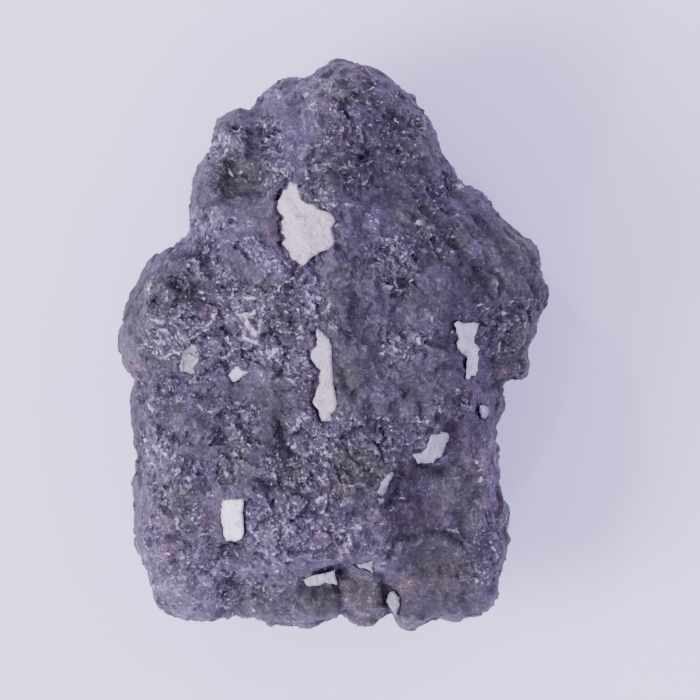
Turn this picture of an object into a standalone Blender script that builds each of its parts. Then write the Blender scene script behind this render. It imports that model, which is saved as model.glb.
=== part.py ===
"""Rough diamond: one dark, crystalline stone with pale mineral grains in its pores.

The stone lies on its broad back. +X runs across it, +Y along its length towards
the narrow end, and +Z up out of its front. The origin is under its middle, on
the surface it rests on. Units are metres; the shape is drawn on a fine drafting
grid of which 568 steps make the stone's length.
"""

import math

import bmesh
import bpy
import numpy as np

# ---------------------------------------------------------------- dimensions
LENGTH = 0.0200  # along Y, narrow end to broad end
GRID = LENGTH / 568.0  # one drafting step
REST_PLANE = -136.0  # height of the flat resting face, in steps from the middle
FIT_GAP = 0.00005  # clearance all round each grain in its pore
GRAIN_DEPTH = 21.0  # depth of a full-size grain, in steps
SPHERE_CUTS = 6  # subdivisions of the ball that the stone is drawn from
FACE_SHARE = 0.42  # share of the ball's faces that the finished stone keeps

# The masses that the stone has grown from: x, y, z of the middle, the three
# half-sizes, the turn in plan in degrees, and the bluntness (2 is an ellipsoid,
# higher is squarer).
OUTER_MASSES = {
    "core_middle": (2, 26, -12, 162, 150, 134, 0, 2.4),
    "core_broad_end": (-19, -118, -14, 160, 128, 112, 0, 3.0),
    "core_narrow_end": (14, 162, -12, 96, 108, 104, 0, 2.2),
    "top_dome": (17, 223, -8, 55, 60, 64, 0, 2.0),
    "top_left": (-34, 222, -2, 44, 43, 60, 0, 2.2),
    "top_right": (52, 226, -10, 29, 33, 52, 0, 2.0),
    "upper_left_corner": (-75, 186, 0, 46, 46, 62, 0, 3.4),
    "upper_left_flank": (-92, 134, 0, 51, 67, 70, 0, 2.5),
    "left_shoulder": (-134, 38, 3, 64, 60, 72, 0, 2.0),
    "left_shoulder_step": (-159, 67, 0, 27, 25, 42, 0, 2.4),
    "left_swell": (-154, 1, 0, 62, 56, 72, 0, 2.0),
    "left_middle": (-139, -68, 0, 64, 66, 84, 0, 2.3),
    "left_lower": (-137, -164, 0, 61, 78, 78, 0, 2.5),
    "left_foot": (-129, -231, -5, 52, 47, 64, 0, 2.1),
    "middle_foot": (-40, -218, -15, 76, 66, 64, 0, 2.2),
    "foot_bead": (35, -239, -14, 33, 43, 42, 0, 2.0),
    "foot_tip": (80, -246, -25, 26, 41, 45, 0, 2.0),
    "right_lower": (109, -194, -25, 66, 76, 64, 0, 2.6),
    "right_foot": (133, -233, -25, 34, 39, 48, 0, 2.8),
    "right_bulge": (131, -182, -20, 47, 52, 60, 0, 2.2),
    "waist": (110, -91, -18, 57, 92, 74, 0, 2.6),
    "waist_knob_low": (147, -130, -20, 22, 24, 30, 0, 2.0),
    "waist_knob_high": (152, -58, -15, 23, 26, 36, 0, 2.0),
    "right_shoulder": (149, 53, -10, 64, 76, 80, 0, 2.1),
    "right_shoulder_lip": (169, -16, -12, 28, 25, 40, 0, 2.2),
    "slope_high": (59, 186, -10, 52, 58, 76, 0, 2.0),
    "slope_middle": (76, 149, -10, 56, 54, 82, 0, 2.0),
    "slope_low": (118, 118, -10, 47, 42, 68, 0, 2.2),
}
FRONT_MASSES = {
    "crest": (-5, 4, 30, 80, 132, 104, 4, 2.3),
    "crest_upper": (-13, 129, 20, 66, 84, 104, 8, 2.2),
    "crest_top": (12, 214, 8, 46, 66, 92, 0, 2.0),
    "front_left_upper": (-119, 26, 14, 76, 66, 84, -20, 2.6),
    "front_left_lower": (-116, -118, 16, 72, 100, 86, 0, 2.8),
    "front_middle_lower": (-39, -156, 18, 88, 76, 94, 0, 2.6),
    "front_right": (69, 59, 14, 84, 105, 94, 0, 2.5),
    "front_right_lower": (67, -41, 12, 88, 72, 98, 25, 2.6),
}
BACK_MASSES = {
    "back_left": (-92, 44, -44, 82, 84, 78, 20, 2.3),
    "back_right": (96, 50, -48, 78, 92, 70, -15, 2.4),
    "back_left_lower": (-96, -128, -46, 84, 82, 74, 10, 2.6),
    "back_right_lower": (78, -134, -44, 82, 88, 76, -20, 2.4),
    "back_foot": (-14, -206, -40, 100, 52, 58, 0, 2.4),
    "back_narrow": (6, 178, -44, 72, 74, 62, 0, 2.3),
    "back_keel": (-20, -20, -60, 92, 120, 84, 35, 2.2),
}
# The hollows under the front mass's broken edges; the last number is how far
# the hollow's rim is rounded.
HOLLOWS = {
    "upper_step": (137, -153, 118, 92, 64, 64, 16, 2.3, 3.0),
    "lower_step": (123, -252, 90, 66, 64, 62, 0, 2.6, 2.5),
    "foot_recess": (17, -265, 66, 54, 44, 54, 0, 2.6, 2.5),
    "upper_left_dent": (-95, 168, 96, 34, 22, 40, 0, 2.0, 8.0),
    "middle_dent": (-43, -88, 156, 26, 60, 56, 12, 2.0, 8.0),
}

# The pale grains: outline in plan, and the height of its own top in steps, or
# None where it is flush with the stone's face.
GRAINS = {
    "pale_grain_upper": (
        [(-41, 160), (-33, 157), (-28, 143), (-19, 137), (-6, 131), (3, 127), (4, 114), (3, 99),
         (-10, 90), (-24, 78), (-39, 83), (-48, 99), (-48, 118), (-52, 135), (-47, 150)],
        None, 1.0),
    "pale_grain_centre": (
        [(-13, 15), (-4, 7), (1, -2), (1, -28), (4, -50), (6, -66), (1, -76), (-9, -77),
         (-17, -58), (-13, -40), (-12, -26), (-20, -9), (-18, -2), (-13, 3)],
        None, 1.0),
    "pale_grain_right": (
        [(122, 20), (134, 22), (147, 20), (142, 1), (147, -7), (145, -28), (139, -34), (134, -32),
         (134, -12), (125, -5), (125, 5)],
        None, 0.8),
    "pale_grain_lower_left": (
        [(-107, -153), (-86, -152), (-86, -189), (-93, -194), (-105, -193), (-108, -176)],
        None, 0.9),
    "pale_grain_lower_right": (
        [(81, -109), (91, -107), (98, -91), (108, -87), (117, -90), (113, -105), (102, -118), (86, -118)],
        None, 0.8),
    "clear_grain_lens": (
        [(61, -126), (63, -131), (59, -140), (57, -149), (51, -151), (45, -145), (49, -136)],
        None, 0.5),
    "pale_grain_small": (
        [(-92, -19), (-88, -25), (-78, -27), (-88, -34), (-97, -38), (-100, -30)],
        None, 0.5),
    "clear_grain_left": (
        [(-137, 2), (-129, -8), (-135, -22), (-130, -40), (-137, -39), (-151, -29), (-153, -22), (-146, -10)],
        None, 0.5),
    "clear_grain_right": (
        [(148, -61), (153, -61), (158, -67), (156, -74), (149, -73)],
        None, 0.5),
    "pale_wedge_foot": (
        [(-28, -234), (-8, -227), (5, -223), (7, -240), (-6, -238), (-18, -241)],
        46.0, 1.6),
    "pale_tooth_foot": (
        [(22, -219), (42, -214), (42, -229), (32, -222)],
        52.0, 1.2),
    "pale_wedge_tip": (
        [(56, -251), (63, -245), (69, -253), (67, -264), (63, -271), (58, -260)],
        20.0, 0.9),
}

# name: colour, roughness
BODY_LOOK = ((0.115, 0.105, 0.155), 0.42)
PALE_LOOK = ((0.70, 0.655, 0.72), 0.62)
CLEAR_LOOK = ((0.40, 0.385, 0.47), 0.40)


# ------------------------------------------------------------------- shape
def table(masses):
    """The masses as one array, with the turn in radians."""
    rows = np.array([list(row) for row in masses.values()], float)
    rows[:, 6] = np.radians(rows[:, 6])
    return rows


OUTER = table(OUTER_MASSES)
FRONT = table(FRONT_MASSES)
BACK = table(BACK_MASSES)
HOLLOW = table(HOLLOWS)


def lattice(i, j, k, seed):
    """A fixed, even-looking number from 0 to 1 for each corner of a lattice."""
    h = (i * 374761393 + j * 668265263 + k * 6442450941 + seed * 1274126177) & 0xFFFFFFFF
    h = ((h ^ (h >> 13)) * 1274126177) & 0xFFFFFFFF
    h = ((h ^ (h >> 16)) * 2246822519) & 0xFFFFFFFF
    h = h ^ (h >> 13)
    return (h & 0xFFFFFF) / float(0x1000000)


def swell(p, size, seed):
    """Smooth rises and falls from -1 to 1, about `size` steps across."""
    q = p / size
    cell = np.floor(q).astype(np.int64)
    f = q - cell
    u = f * f * f * (f * (f * 6 - 15) + 10)
    total = np.zeros(len(p))
    for a in (0, 1):
        wa = u[:, 0] if a else 1 - u[:, 0]
        for b in (0, 1):
            wb = u[:, 1] if b else 1 - u[:, 1]
            for c in (0, 1):
                wc = u[:, 2] if c else 1 - u[:, 2]
                corner = lattice(cell[:, 0] + a, cell[:, 1] + b, cell[:, 2] + c, seed)
                total += wa * wb * wc * (corner * 2 - 1)
    return total


def distance(p, mass):
    """Signed distance, nearly, from each point to one blunt ellipsoid."""
    x, y, z = (p - mass[:3]).T
    c, s, n = math.cos(mass[6]), math.sin(mass[6]), mass[7]
    u = np.abs(c * x + s * y) / mass[3]
    v = np.abs(-s * x + c * y) / mass[4]
    w = np.abs(z) / mass[5]
    k = np.maximum((u**n + v**n + w**n) ** (1 / n), 1e-6)
    slope = k ** (1 - n) * np.sqrt(
        (u ** (n - 1) / mass[3]) ** 2 + (v ** (n - 1) / mass[4]) ** 2 + (w ** (n - 1) / mass[5]) ** 2
    )
    return (k - 1) / np.maximum(slope, 1e-6)


def grown_together(p, masses, fillet):
    """Distance to a group of masses that have grown into each other."""
    d = np.array([distance(p, mass) for mass in masses])
    nearest = d.min(0)
    return nearest - fillet * np.log(np.exp(-(d - nearest) / fillet).sum(0))


def larger(a, b, fillet):
    h = np.clip(0.5 + 0.5 * (a - b) / fillet, 0, 1)
    return b + (a - b) * h + fillet * h * (1 - h)


def stone(p):
    """Distance from each point to the stone's face, less than 0 inside it."""
    f = -larger(-grown_together(p, OUTER, 4.0), -grown_together(p, FRONT, 9.0), 16.0)
    f = -larger(-f, -grown_together(p, BACK, 7.0), 10.0)
    for hollow in HOLLOW:
        f = larger(f, -distance(p, hollow), hollow[8])
    return f + 1.0 + 2.6 * swell(p, 52.0, 1) + 1.8 * swell(p, 23.0, 2)


def reach(directions):
    """How far the stone's face is from the middle, along each direction."""
    r = np.full(len(directions), 330.0)
    going = np.arange(len(directions))
    for _ in range(90):
        f = stone(directions[going] * r[going, None])
        r[going] -= np.maximum(f * 0.8, 0.0)
        going = going[f > 0.05]
        if not len(going):
            break
    return r


def face_height(x, y):
    """Height of the stone's front face over each point in plan."""
    p = np.stack([x, y, np.full(len(x), 200.0)], 1)
    going = np.arange(len(x))
    for _ in range(90):
        f = stone(p[going])
        p[going, 2] -= np.maximum(f * 0.8, 0.02)
        going = going[(f > 0.1) & (p[going, 2] > -120)]
        if not len(going):
            break
    return p[:, 2]


def to_metres(p):
    """Drafting steps from the middle, to metres from under the stone."""
    q = np.array(p, float)
    q[..., 2] -= REST_PLANE
    return q * GRID


# ----------------------------------------------------------------- objects
def look(name, colour, roughness):
    material = bpy.data.materials.new(name)
    material.use_nodes = True
    shader = material.node_tree.nodes["Principled BSDF"]
    shader.inputs["Base Color"].default_value = (*colour, 1)
    shader.inputs["Roughness"].default_value = roughness
    shader.inputs["Metallic"].default_value = 0
    material.diffuse_color = (*colour, 1)
    return material


def move_to(obj, collection):
    for other in list(obj.users_collection):
        other.objects.unlink(obj)
    collection.objects.link(obj)


def as_cutter(obj, collection):
    move_to(obj, collection)
    obj.hide_render = True
    obj.display_type = "WIRE"


def draw_blank(name, below):
    """The stone without its pores: a finely divided ball, each point moved out to
    the face, with the broken flat that it rests on cut away by `below`."""
    bpy.ops.mesh.primitive_ico_sphere_add(subdivisions=SPHERE_CUTS, radius=1)
    obj = bpy.context.object
    obj.name = obj.data.name = name
    mesh = obj.data
    count = len(mesh.vertices)
    d = np.empty(count * 3)
    mesh.vertices.foreach_get("co", d)
    d = d.reshape(-1, 3)
    d /= np.linalg.norm(d, axis=1)[:, None]
    ends = np.empty(len(mesh.edges) * 2, dtype=np.int32)
    mesh.edges.foreach_get("vertices", ends)
    a, b = ends.reshape(-1, 2).T
    p = d * reach(d)[:, None]
    for _ in range(3):  # ease the points along the face until they are evenly spread
        near = np.zeros((count, 3))
        links = np.zeros(count)
        for one, other in ((a, b), (b, a)):
            np.add.at(near, one, p[other])
            np.add.at(links, one, 1)
        d = 0.3 * p + 0.7 * near / links[:, None]
        d /= np.linalg.norm(d, axis=1)[:, None]
        p = d * reach(d)[:, None]
    mesh.vertices.foreach_set("co", to_metres(p).ravel())
    mesh.update()
    thin = obj.modifiers.new("keep_share_of_faces", "DECIMATE")
    thin.ratio = FACE_SHARE
    thin.use_collapse_triangulate = True
    cut(obj, below, "DIFFERENCE")
    graph = bpy.context.evaluated_depsgraph_get()
    thinned = bpy.data.meshes.new_from_object(obj.evaluated_get(graph))
    obj.modifiers.clear()
    obj.data = thinned
    thinned.name = name
    bpy.data.meshes.remove(mesh)
    return obj


def wider(outline, by):
    """The outline, moved outwards by the same amount all round."""
    p = np.array(outline, float)
    if np.sum(p[:, 0] * np.roll(p[:, 1], -1) - np.roll(p[:, 0], -1) * p[:, 1]) < 0:
        p = p[::-1]
    along = np.roll(p, -1, 0) - p
    along /= np.linalg.norm(along, axis=1)[:, None]
    out = np.stack([along[:, 1], -along[:, 0]], 1)
    corner = out + np.roll(out, 1, 0)
    corner /= np.maximum((corner * out).sum(1), 0.7)[:, None]
    return p + corner * by


def prism(name, outline, low, high):
    """A flat outline made solid from one height to another, all in steps."""
    curve = bpy.data.curves.new(name, "CURVE")
    curve.dimensions = "2D"
    curve.fill_mode = "BOTH"
    curve.extrude = (high - low) * GRID / 2
    spline = curve.splines.new("POLY")
    spline.points.add(len(outline) - 1)
    for point, (x, y) in zip(spline.points, outline):
        point.co = (x * GRID, y * GRID, 0, 1)
    spline.use_cyclic_u = True
    drawn = bpy.data.objects.new(name + "_outline", curve)
    bpy.context.scene.collection.objects.link(drawn)
    drawn.location.z = ((high + low) / 2 - REST_PLANE) * GRID
    bpy.context.view_layer.update()
    graph = bpy.context.evaluated_depsgraph_get()
    mesh = bpy.data.meshes.new_from_object(drawn.evaluated_get(graph))
    mesh.name = name
    bm = bmesh.new()
    bm.from_mesh(mesh)
    bmesh.ops.remove_doubles(bm, verts=bm.verts, dist=1e-7)
    bmesh.ops.recalc_face_normals(bm, faces=bm.faces)
    bm.to_mesh(mesh)
    bm.free()
    obj = bpy.data.objects.new(name, mesh)
    obj.matrix_world = drawn.matrix_world
    bpy.context.scene.collection.objects.link(obj)
    bpy.data.objects.remove(drawn)
    return obj


def cut(obj, cutter, operation):
    step = obj.modifiers.new(cutter.name, "BOOLEAN")
    step.operation = operation
    step.solver = "EXACT"
    step.object = cutter


def main():
    for old in list(bpy.data.objects):
        bpy.data.objects.remove(old)
    parts = bpy.data.collections.new("rough_diamond")
    cutters = bpy.data.collections.new("cutters")
    bpy.context.scene.collection.children.link(parts)
    bpy.context.scene.collection.children.link(cutters)

    bpy.ops.mesh.primitive_cube_add(size=2 * LENGTH, location=(0, 0, -LENGTH))
    below = bpy.context.object
    below.name = "below_rest_plane"
    as_cutter(below, cutters)
    bpy.context.view_layer.update()

    blank = draw_blank("uncut_stone", below)
    body = bpy.data.objects.new("diamond_body", blank.data.copy())
    body.data.name = "diamond_body"
    body.data.materials.append(look("dark_diamond", *BODY_LOOK))
    parts.objects.link(body)
    as_cutter(blank, cutters)

    gap = FIT_GAP / GRID
    for name, (outline, top, share) in GRAINS.items():
        rim = wider(outline, 0)
        height = face_height(rim[:, 0], rim[:, 1])
        if top is None:
            low, high = height.min() - GRAIN_DEPTH * share, height.max() + 25.0
        else:
            low, high = top - GRAIN_DEPTH * share, top
        grain = prism(name, rim, low, high)
        move_to(grain, parts)
        style = CLEAR_LOOK if name.startswith("clear") else PALE_LOOK
        grain.data.materials.append(look(name + "_mineral", *style))
        if top is None:
            cut(grain, blank, "INTERSECT")
        pore = prism(name + "_pore", wider(outline, gap), low - gap, max(high, height.max()) + 25.0)
        as_cutter(pore, cutters)
        cut(body, pore, "DIFFERENCE")


main()
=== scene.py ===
"""The looks of a rough dark diamond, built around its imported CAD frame."""

import math
import time

import bpy
import numpy as np
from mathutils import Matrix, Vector
from mathutils.geometry import delaunay_2d_cdt


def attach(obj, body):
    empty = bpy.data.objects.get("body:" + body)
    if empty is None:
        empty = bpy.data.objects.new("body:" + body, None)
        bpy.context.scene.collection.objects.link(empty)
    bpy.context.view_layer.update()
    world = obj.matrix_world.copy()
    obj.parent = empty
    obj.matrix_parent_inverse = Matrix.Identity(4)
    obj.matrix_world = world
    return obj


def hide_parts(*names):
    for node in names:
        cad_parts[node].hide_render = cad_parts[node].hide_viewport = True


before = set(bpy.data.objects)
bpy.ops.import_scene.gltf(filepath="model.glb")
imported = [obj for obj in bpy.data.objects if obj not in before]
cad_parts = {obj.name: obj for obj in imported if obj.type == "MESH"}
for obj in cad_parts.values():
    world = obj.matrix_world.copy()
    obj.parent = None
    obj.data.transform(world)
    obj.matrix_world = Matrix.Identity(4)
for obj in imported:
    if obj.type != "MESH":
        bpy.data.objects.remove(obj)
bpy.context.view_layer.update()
T0 = time.time()

# The drafting grid of the design: 568 steps make the stone's length. x is to the
# right, y up along the stone, z out of its front, counted from its middle.
LENGTH = 0.0200
GRID = LENGTH / 568.0
REST_PLANE = -136.0

OUTER_MASSES = (
    (2, 26, -12, 162, 150, 134, 0, 2.4), (-19, -118, -14, 160, 128, 112, 0, 3.0),
    (14, 162, -12, 96, 108, 104, 0, 2.2), (17, 223, -8, 55, 60, 64, 0, 2.0),
    (-34, 222, -2, 44, 43, 60, 0, 2.2), (52, 226, -10, 29, 33, 52, 0, 2.0),
    (-75, 186, 0, 46, 46, 62, 0, 3.4), (-92, 134, 0, 51, 67, 70, 0, 2.5),
    (-134, 38, 3, 64, 60, 72, 0, 2.0), (-159, 67, 0, 27, 25, 42, 0, 2.4),
    (-154, 1, 0, 62, 56, 72, 0, 2.0), (-139, -68, 0, 64, 66, 84, 0, 2.3),
    (-137, -164, 0, 61, 78, 78, 0, 2.5), (-129, -231, -5, 52, 47, 64, 0, 2.1),
    (-40, -218, -15, 76, 66, 64, 0, 2.2), (35, -239, -14, 33, 43, 42, 0, 2.0),
    (80, -246, -25, 26, 41, 45, 0, 2.0), (109, -194, -25, 66, 76, 64, 0, 2.6),
    (133, -233, -25, 34, 39, 48, 0, 2.8), (131, -182, -20, 47, 52, 60, 0, 2.2),
    (110, -91, -18, 57, 92, 74, 0, 2.6), (147, -130, -20, 22, 24, 30, 0, 2.0),
    (152, -58, -15, 23, 26, 36, 0, 2.0), (149, 53, -10, 64, 76, 80, 0, 2.1),
    (169, -16, -12, 28, 25, 40, 0, 2.2), (59, 186, -10, 52, 58, 76, 0, 2.0),
    (76, 149, -10, 56, 54, 82, 0, 2.0), (118, 118, -10, 47, 42, 68, 0, 2.2),
)
FRONT_MASSES = (
    (-5, 4, 30, 80, 132, 104, 4, 2.3), (-13, 129, 20, 66, 84, 104, 8, 2.2),
    (12, 214, 8, 46, 66, 92, 0, 2.0), (-119, 26, 14, 76, 66, 84, -20, 2.6),
    (-116, -118, 16, 72, 100, 86, 0, 2.8), (-39, -156, 18, 88, 76, 94, 0, 2.6),
    (69, 59, 14, 84, 105, 94, 0, 2.5), (67, -41, 12, 88, 72, 98, 25, 2.6),
)
BACK_MASSES = (
    (-92, 44, -44, 82, 84, 78, 20, 2.3), (96, 50, -48, 78, 92, 70, -15, 2.4),
    (-96, -128, -46, 84, 82, 74, 10, 2.6), (78, -134, -44, 82, 88, 76, -20, 2.4),
    (-14, -206, -40, 100, 52, 58, 0, 2.4), (6, 178, -44, 72, 74, 62, 0, 2.3),
    (-20, -20, -60, 92, 120, 84, 35, 2.2),
)
HOLLOWS = (
    (137, -153, 118, 92, 64, 64, 16, 2.3, 3.0), (123, -252, 90, 66, 64, 62, 0, 2.6, 2.5),
    (17, -265, 78, 54, 44, 54, 0, 2.6, 5.0), (-95, 168, 96, 34, 22, 40, 0, 2.0, 8.0),
    (-43, -88, 156, 26, 60, 56, 12, 2.0, 8.0),
)


def table(rows):
    rows = np.array(rows, float)
    rows[:, 6] = np.radians(rows[:, 6])
    return rows


OUTER, FRONT, BACK, HOLLOW = map(table, (OUTER_MASSES, FRONT_MASSES, BACK_MASSES, HOLLOWS))


# ------------------------------------------------------------ number fields
def lattice(i, j, k, seed):
    h = (i * 374761393 + j * 668265263 + k * 6442450941 + seed * 1274126177) & 0xFFFFFFFF
    h = ((h ^ (h >> 13)) * 1274126177) & 0xFFFFFFFF
    h = ((h ^ (h >> 16)) * 2246822519) & 0xFFFFFFFF
    h = h ^ (h >> 13)
    return (h & 0xFFFFFF) / float(0x1000000)


def swell(p, size, seed):
    """Smooth rises and falls from -1 to 1, about `size` steps across."""
    q = p / size
    cell = np.floor(q).astype(np.int64)
    f = q - cell
    u = f * f * f * (f * (f * 6 - 15) + 10)
    total = np.zeros(len(p))
    for a in (0, 1):
        wa = u[:, 0] if a else 1 - u[:, 0]
        for b in (0, 1):
            wb = u[:, 1] if b else 1 - u[:, 1]
            for c in (0, 1):
                wc = u[:, 2] if c else 1 - u[:, 2]
                corner = lattice(cell[:, 0] + a, cell[:, 1] + b, cell[:, 2] + c, seed)
                total += wa * wb * wc * (corner * 2 - 1)
    return total


def cells(p, size, seed, stretch=(1.0, 1.0, 1.0)):
    """For each point: distance to the nearest grain's middle and to the next one's,
    the offset from that middle, and four fixed random numbers of that grain."""
    q = p / (size * np.array(stretch))
    cell = np.floor(q).astype(np.int64)
    best = np.full(len(p), 1e9)
    second = np.full(len(p), 1e9)
    where = np.zeros((len(p), 3))
    key = np.zeros((len(p), 3), np.int64)
    for a in (-1, 0, 1):
        for b in (-1, 0, 1):
            for c in (-1, 0, 1):
                i, j, k = cell[:, 0] + a, cell[:, 1] + b, cell[:, 2] + c
                m = np.stack([i + lattice(i, j, k, seed), j + lattice(i, j, k, seed + 1),
                              k + lattice(i, j, k, seed + 2)], 1)
                d = ((q - m) ** 2).sum(1)
                nearer = d < best
                second = np.where(nearer, best, np.minimum(second, d))
                best = np.where(nearer, d, best)
                where[nearer] = (q - m)[nearer]
                key[nearer] = np.stack([i, j, k], 1)[nearer]
    rnd = np.stack([lattice(key[:, 0], key[:, 1], key[:, 2], seed + 10 + s) for s in range(4)], 1)
    return np.sqrt(best), np.sqrt(second), where * size * np.array(stretch), rnd


def distance(p, mass):
    x, y, z = (p - mass[:3]).T
    c, s, n = math.cos(mass[6]), math.sin(mass[6]), mass[7]
    u = np.abs(c * x + s * y) / mass[3]
    v = np.abs(-s * x + c * y) / mass[4]
    w = np.abs(z) / mass[5]
    k = np.maximum((u**n + v**n + w**n) ** (1 / n), 1e-6)
    slope = k ** (1 - n) * np.sqrt((u ** (n - 1) / mass[3]) ** 2 + (v ** (n - 1) / mass[4]) ** 2
                                   + (w ** (n - 1) / mass[5]) ** 2)
    return (k - 1) / np.maximum(slope, 1e-6)


def grown_together(p, masses, fillet):
    d = np.array([distance(p, mass) for mass in masses])
    nearest = d.min(0)
    return nearest - fillet * np.log(np.exp(-(d - nearest) / fillet).sum(0))


def larger(a, b, fillet):
    h = np.clip(0.5 + 0.5 * (a - b) / fillet, 0, 1)
    return b + (a - b) * h + fillet * h * (1 - h)


def smooth_step(low, high, v):
    t = np.clip((v - low) / (high - low), 0, 1)
    return t * t * (3 - 2 * t)


def stone(p):
    """Distance from each point to the stone's face, less than 0 inside it."""
    f = -larger(-grown_together(p, OUTER, 4.0), -grown_together(p, FRONT, 9.0), 16.0)
    f = -larger(-f, -grown_together(p, BACK, 7.0), 10.0)
    for hollow in HOLLOW:
        f = larger(f, -distance(p, hollow), hollow[8])
    return f + 1.0 + 2.6 * swell(p, 52.0, 1) + 1.8 * swell(p, 23.0, 2)


CORE = np.array([0.0, -10.0, -62.0])


def reach(directions, start=None, steps=60):
    """How far the stone's face is from its core, along each direction."""
    r = np.full(len(directions), 370.0) if start is None else start.copy()
    going = np.arange(len(directions))
    for _ in range(steps):
        f = stone(CORE + directions[going] * r[going, None])
        r[going] -= f * 0.8
        going = going[np.abs(f) > 0.04]
        if not len(going):
            break
    return r


def face_height(x, y):
    p = np.stack([x, y, np.full(len(x), 200.0)], 1)
    going = np.arange(len(x))
    for _ in range(90):
        f = stone(p[going])
        p[going, 2] -= np.maximum(f * 0.8, 0.02)
        going = going[(f > 0.1) & (p[going, 2] > -120)]
        if not len(going):
            break
    return p[:, 2]


def to_metres(p):
    q = np.array(p, float)
    q[..., 2] -= REST_PLANE
    return q * GRID


def blots(p, spots):
    """How strongly each point in plan belongs to a set of soft-edged spots: x, y, half-width, half-height, turn."""
    total = np.zeros(len(p))
    for x, y, rx, ry, turn in spots:
        c, s = math.cos(math.radians(turn)), math.sin(math.radians(turn))
        u = (c * (p[:, 0] - x) + s * (p[:, 1] - y)) / rx
        v = (-s * (p[:, 0] - x) + c * (p[:, 1] - y)) / ry
        total = np.maximum(total, 1 - smooth_step(0.6, 1.3, np.sqrt(u * u + v * v)))
    return total * smooth_step(-30, 15, p[:, 2])


# ---------------------------------------------------------- the pale grains
# Outline in plan; height of its own top or None where flush; depth; kind; the
# side on which an open crevice runs beside it (x, y, width).
GRAINS = {
    "pale_grain_upper": dict(kind="pale", seed=11, crack=(1.0, 0.12), crevice=(-1.0, 0.1, 3.4), outline=[
        (-41, 160), (-36, 158.5), (-33, 157), (-30, 149), (-28, 143), (-23, 139), (-17, 137), (-11, 131.5), (-6, 131),
        (-2, 130), (3, 125), (5, 120), (1, 113), (4, 105), (3, 98), (-2, 93), (-10, 90), (-18, 86),
        (-22, 82), (-27, 77), (-34, 80), (-41, 84), (-44, 90), (-48, 99), (-44, 104), (-49, 109), (-48, 114), (-49, 119),
        (-46, 124), (-53, 135), (-51, 141), (-47, 151), (-43, 153)]),
    "pale_grain_centre": dict(kind="pale", seed=12, crack=(1.0, 0.02), crevice=(-0.9, -0.4, 2.6), outline=[
        (-13, 16), (-7, 11), (-1, 5), (1, -1), (1, -15), (2, -29), (3, -41), (5, -50), (6, -64), (1, -69), (1, -76),
        (-9, -76), (-11, -71), (-12, -66), (-18, -57), (-15, -52), (-13, -43), (-11, -38), (-14, -32), (-11, -26),
        (-14, -22), (-19, -15), (-21, -7), (-18, -4), (-14, -2), (-13, 5), (-14, 9)]),
    "pale_grain_right": dict(kind="pale", seed=13, crack=(0.4, 0.9), crevice=(-0.8, 0.5, 2.4), outline=[
        (122, 20), (126, 22), (131, 21), (137, 22), (142, 23), (147, 20), (145, 12), (142, 8), (142, 1), (148, -5),
        (146, -9), (147, -15), (145, -20), (145, -27), (144, -32), (139, -31), (136, -35), (133, -33), (134, -25),
        (135, -13), (132, -11), (126, -5), (124, 1), (126, 6), (124, 13)]),
    "pale_grain_lower_left": dict(kind="pale", seed=14, crack=(1.0, 0.05), crevice=(0.8, -0.6, 3.0), outline=[
        (-107, -154), (-99, -152), (-92, -152), (-86, -152), (-86, -159), (-87, -167), (-86, -176), (-86, -185),
        (-87, -190), (-90, -193), (-94, -195), (-97, -194), (-104, -194), (-106, -190), (-106, -181), (-108, -174),
        (-108, -163)]),
    "pale_grain_lower_right": dict(kind="pale", seed=15, crack=(0.5, 0.85), crevice=(0.3, -1.0, 3.6), outline=[
        (81, -109), (91, -107), (95, -98), (100, -90), (109, -87), (116, -88), (118, -93), (114, -100), (112, -107),
        (108, -112), (101, -118), (93, -118.5), (86, -118)]),
    "clear_grain_lens": dict(kind="clear", seed=16, crack=(0.5, 0.85), crevice=(0, 0, 0), outline=[
        (61, -126), (62, -128), (59, -135), (60, -139), (58, -146), (51, -151), (45, -145), (48, -137), (54, -130)],
        chip=[(45, -152), (54, -152), (52, -157), (48, -159)]),
    "pale_grain_small": dict(kind="pale", seed=17, crack=(0.7, 0.7), crevice=(0.3, -1.0, 1.6), outline=[
        (-92, -19), (-88, -24), (-78, -27), (-83, -30), (-88, -34), (-97, -38), (-100, -31), (-97, -25)]),
    "clear_grain_left": dict(kind="clear", seed=18, crack=(0.7, 0.7), crevice=(0, 0, 0), outline=[
        (-137, 2), (-133, -3), (-129, -8), (-130, -14), (-132, -19), (-136, -24), (-133, -31), (-130, -40), (-137, -39),
        (-138, -31), (-145, -29), (-151, -29), (-153, -22), (-148, -15), (-146, -8)]),
    "clear_grain_right": dict(kind="clear", seed=19, crack=(0.2, 1.0), crevice=(-1.0, 0, 1.5), outline=[
        (148, -61), (153, -60), (157, -64), (158, -68), (156, -74), (149, -73), (147, -67)]),
    "pale_wedge_foot": dict(kind="pale", seed=20, top=50.0, lean=(0.0, 0.7), crack=(1.0, 0.2), crevice=(0, 0, 0), outline=[
        (-28, -234), (-18, -230), (-8, -228), (4, -224), (6, -239), (-6, -237), (-11, -239), (-19, -240), (-24, -240)]),
    "pale_tooth_foot": dict(kind="pale", seed=21, top=63.0, lean=(0.0, 0.9), crack=(0.2, 1.0), crevice=(0, 0, 0), outline=[
        (22, -219), (34, -217), (42, -214), (42, -228), (37, -225), (32, -222), (29, -223), (26, -220)]),
    "pale_wedge_tip": dict(kind="pale", seed=22, top=20.0, lean=(0.2, 0.2), crack=(0.2, 1.0), crevice=(0, 0, 0), outline=[
        (56, -251), (60, -247), (63, -246), (69, -253), (68, -259), (67, -264), (64, -271), (61, -266), (58, -261), (55, -257)]),
}


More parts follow.
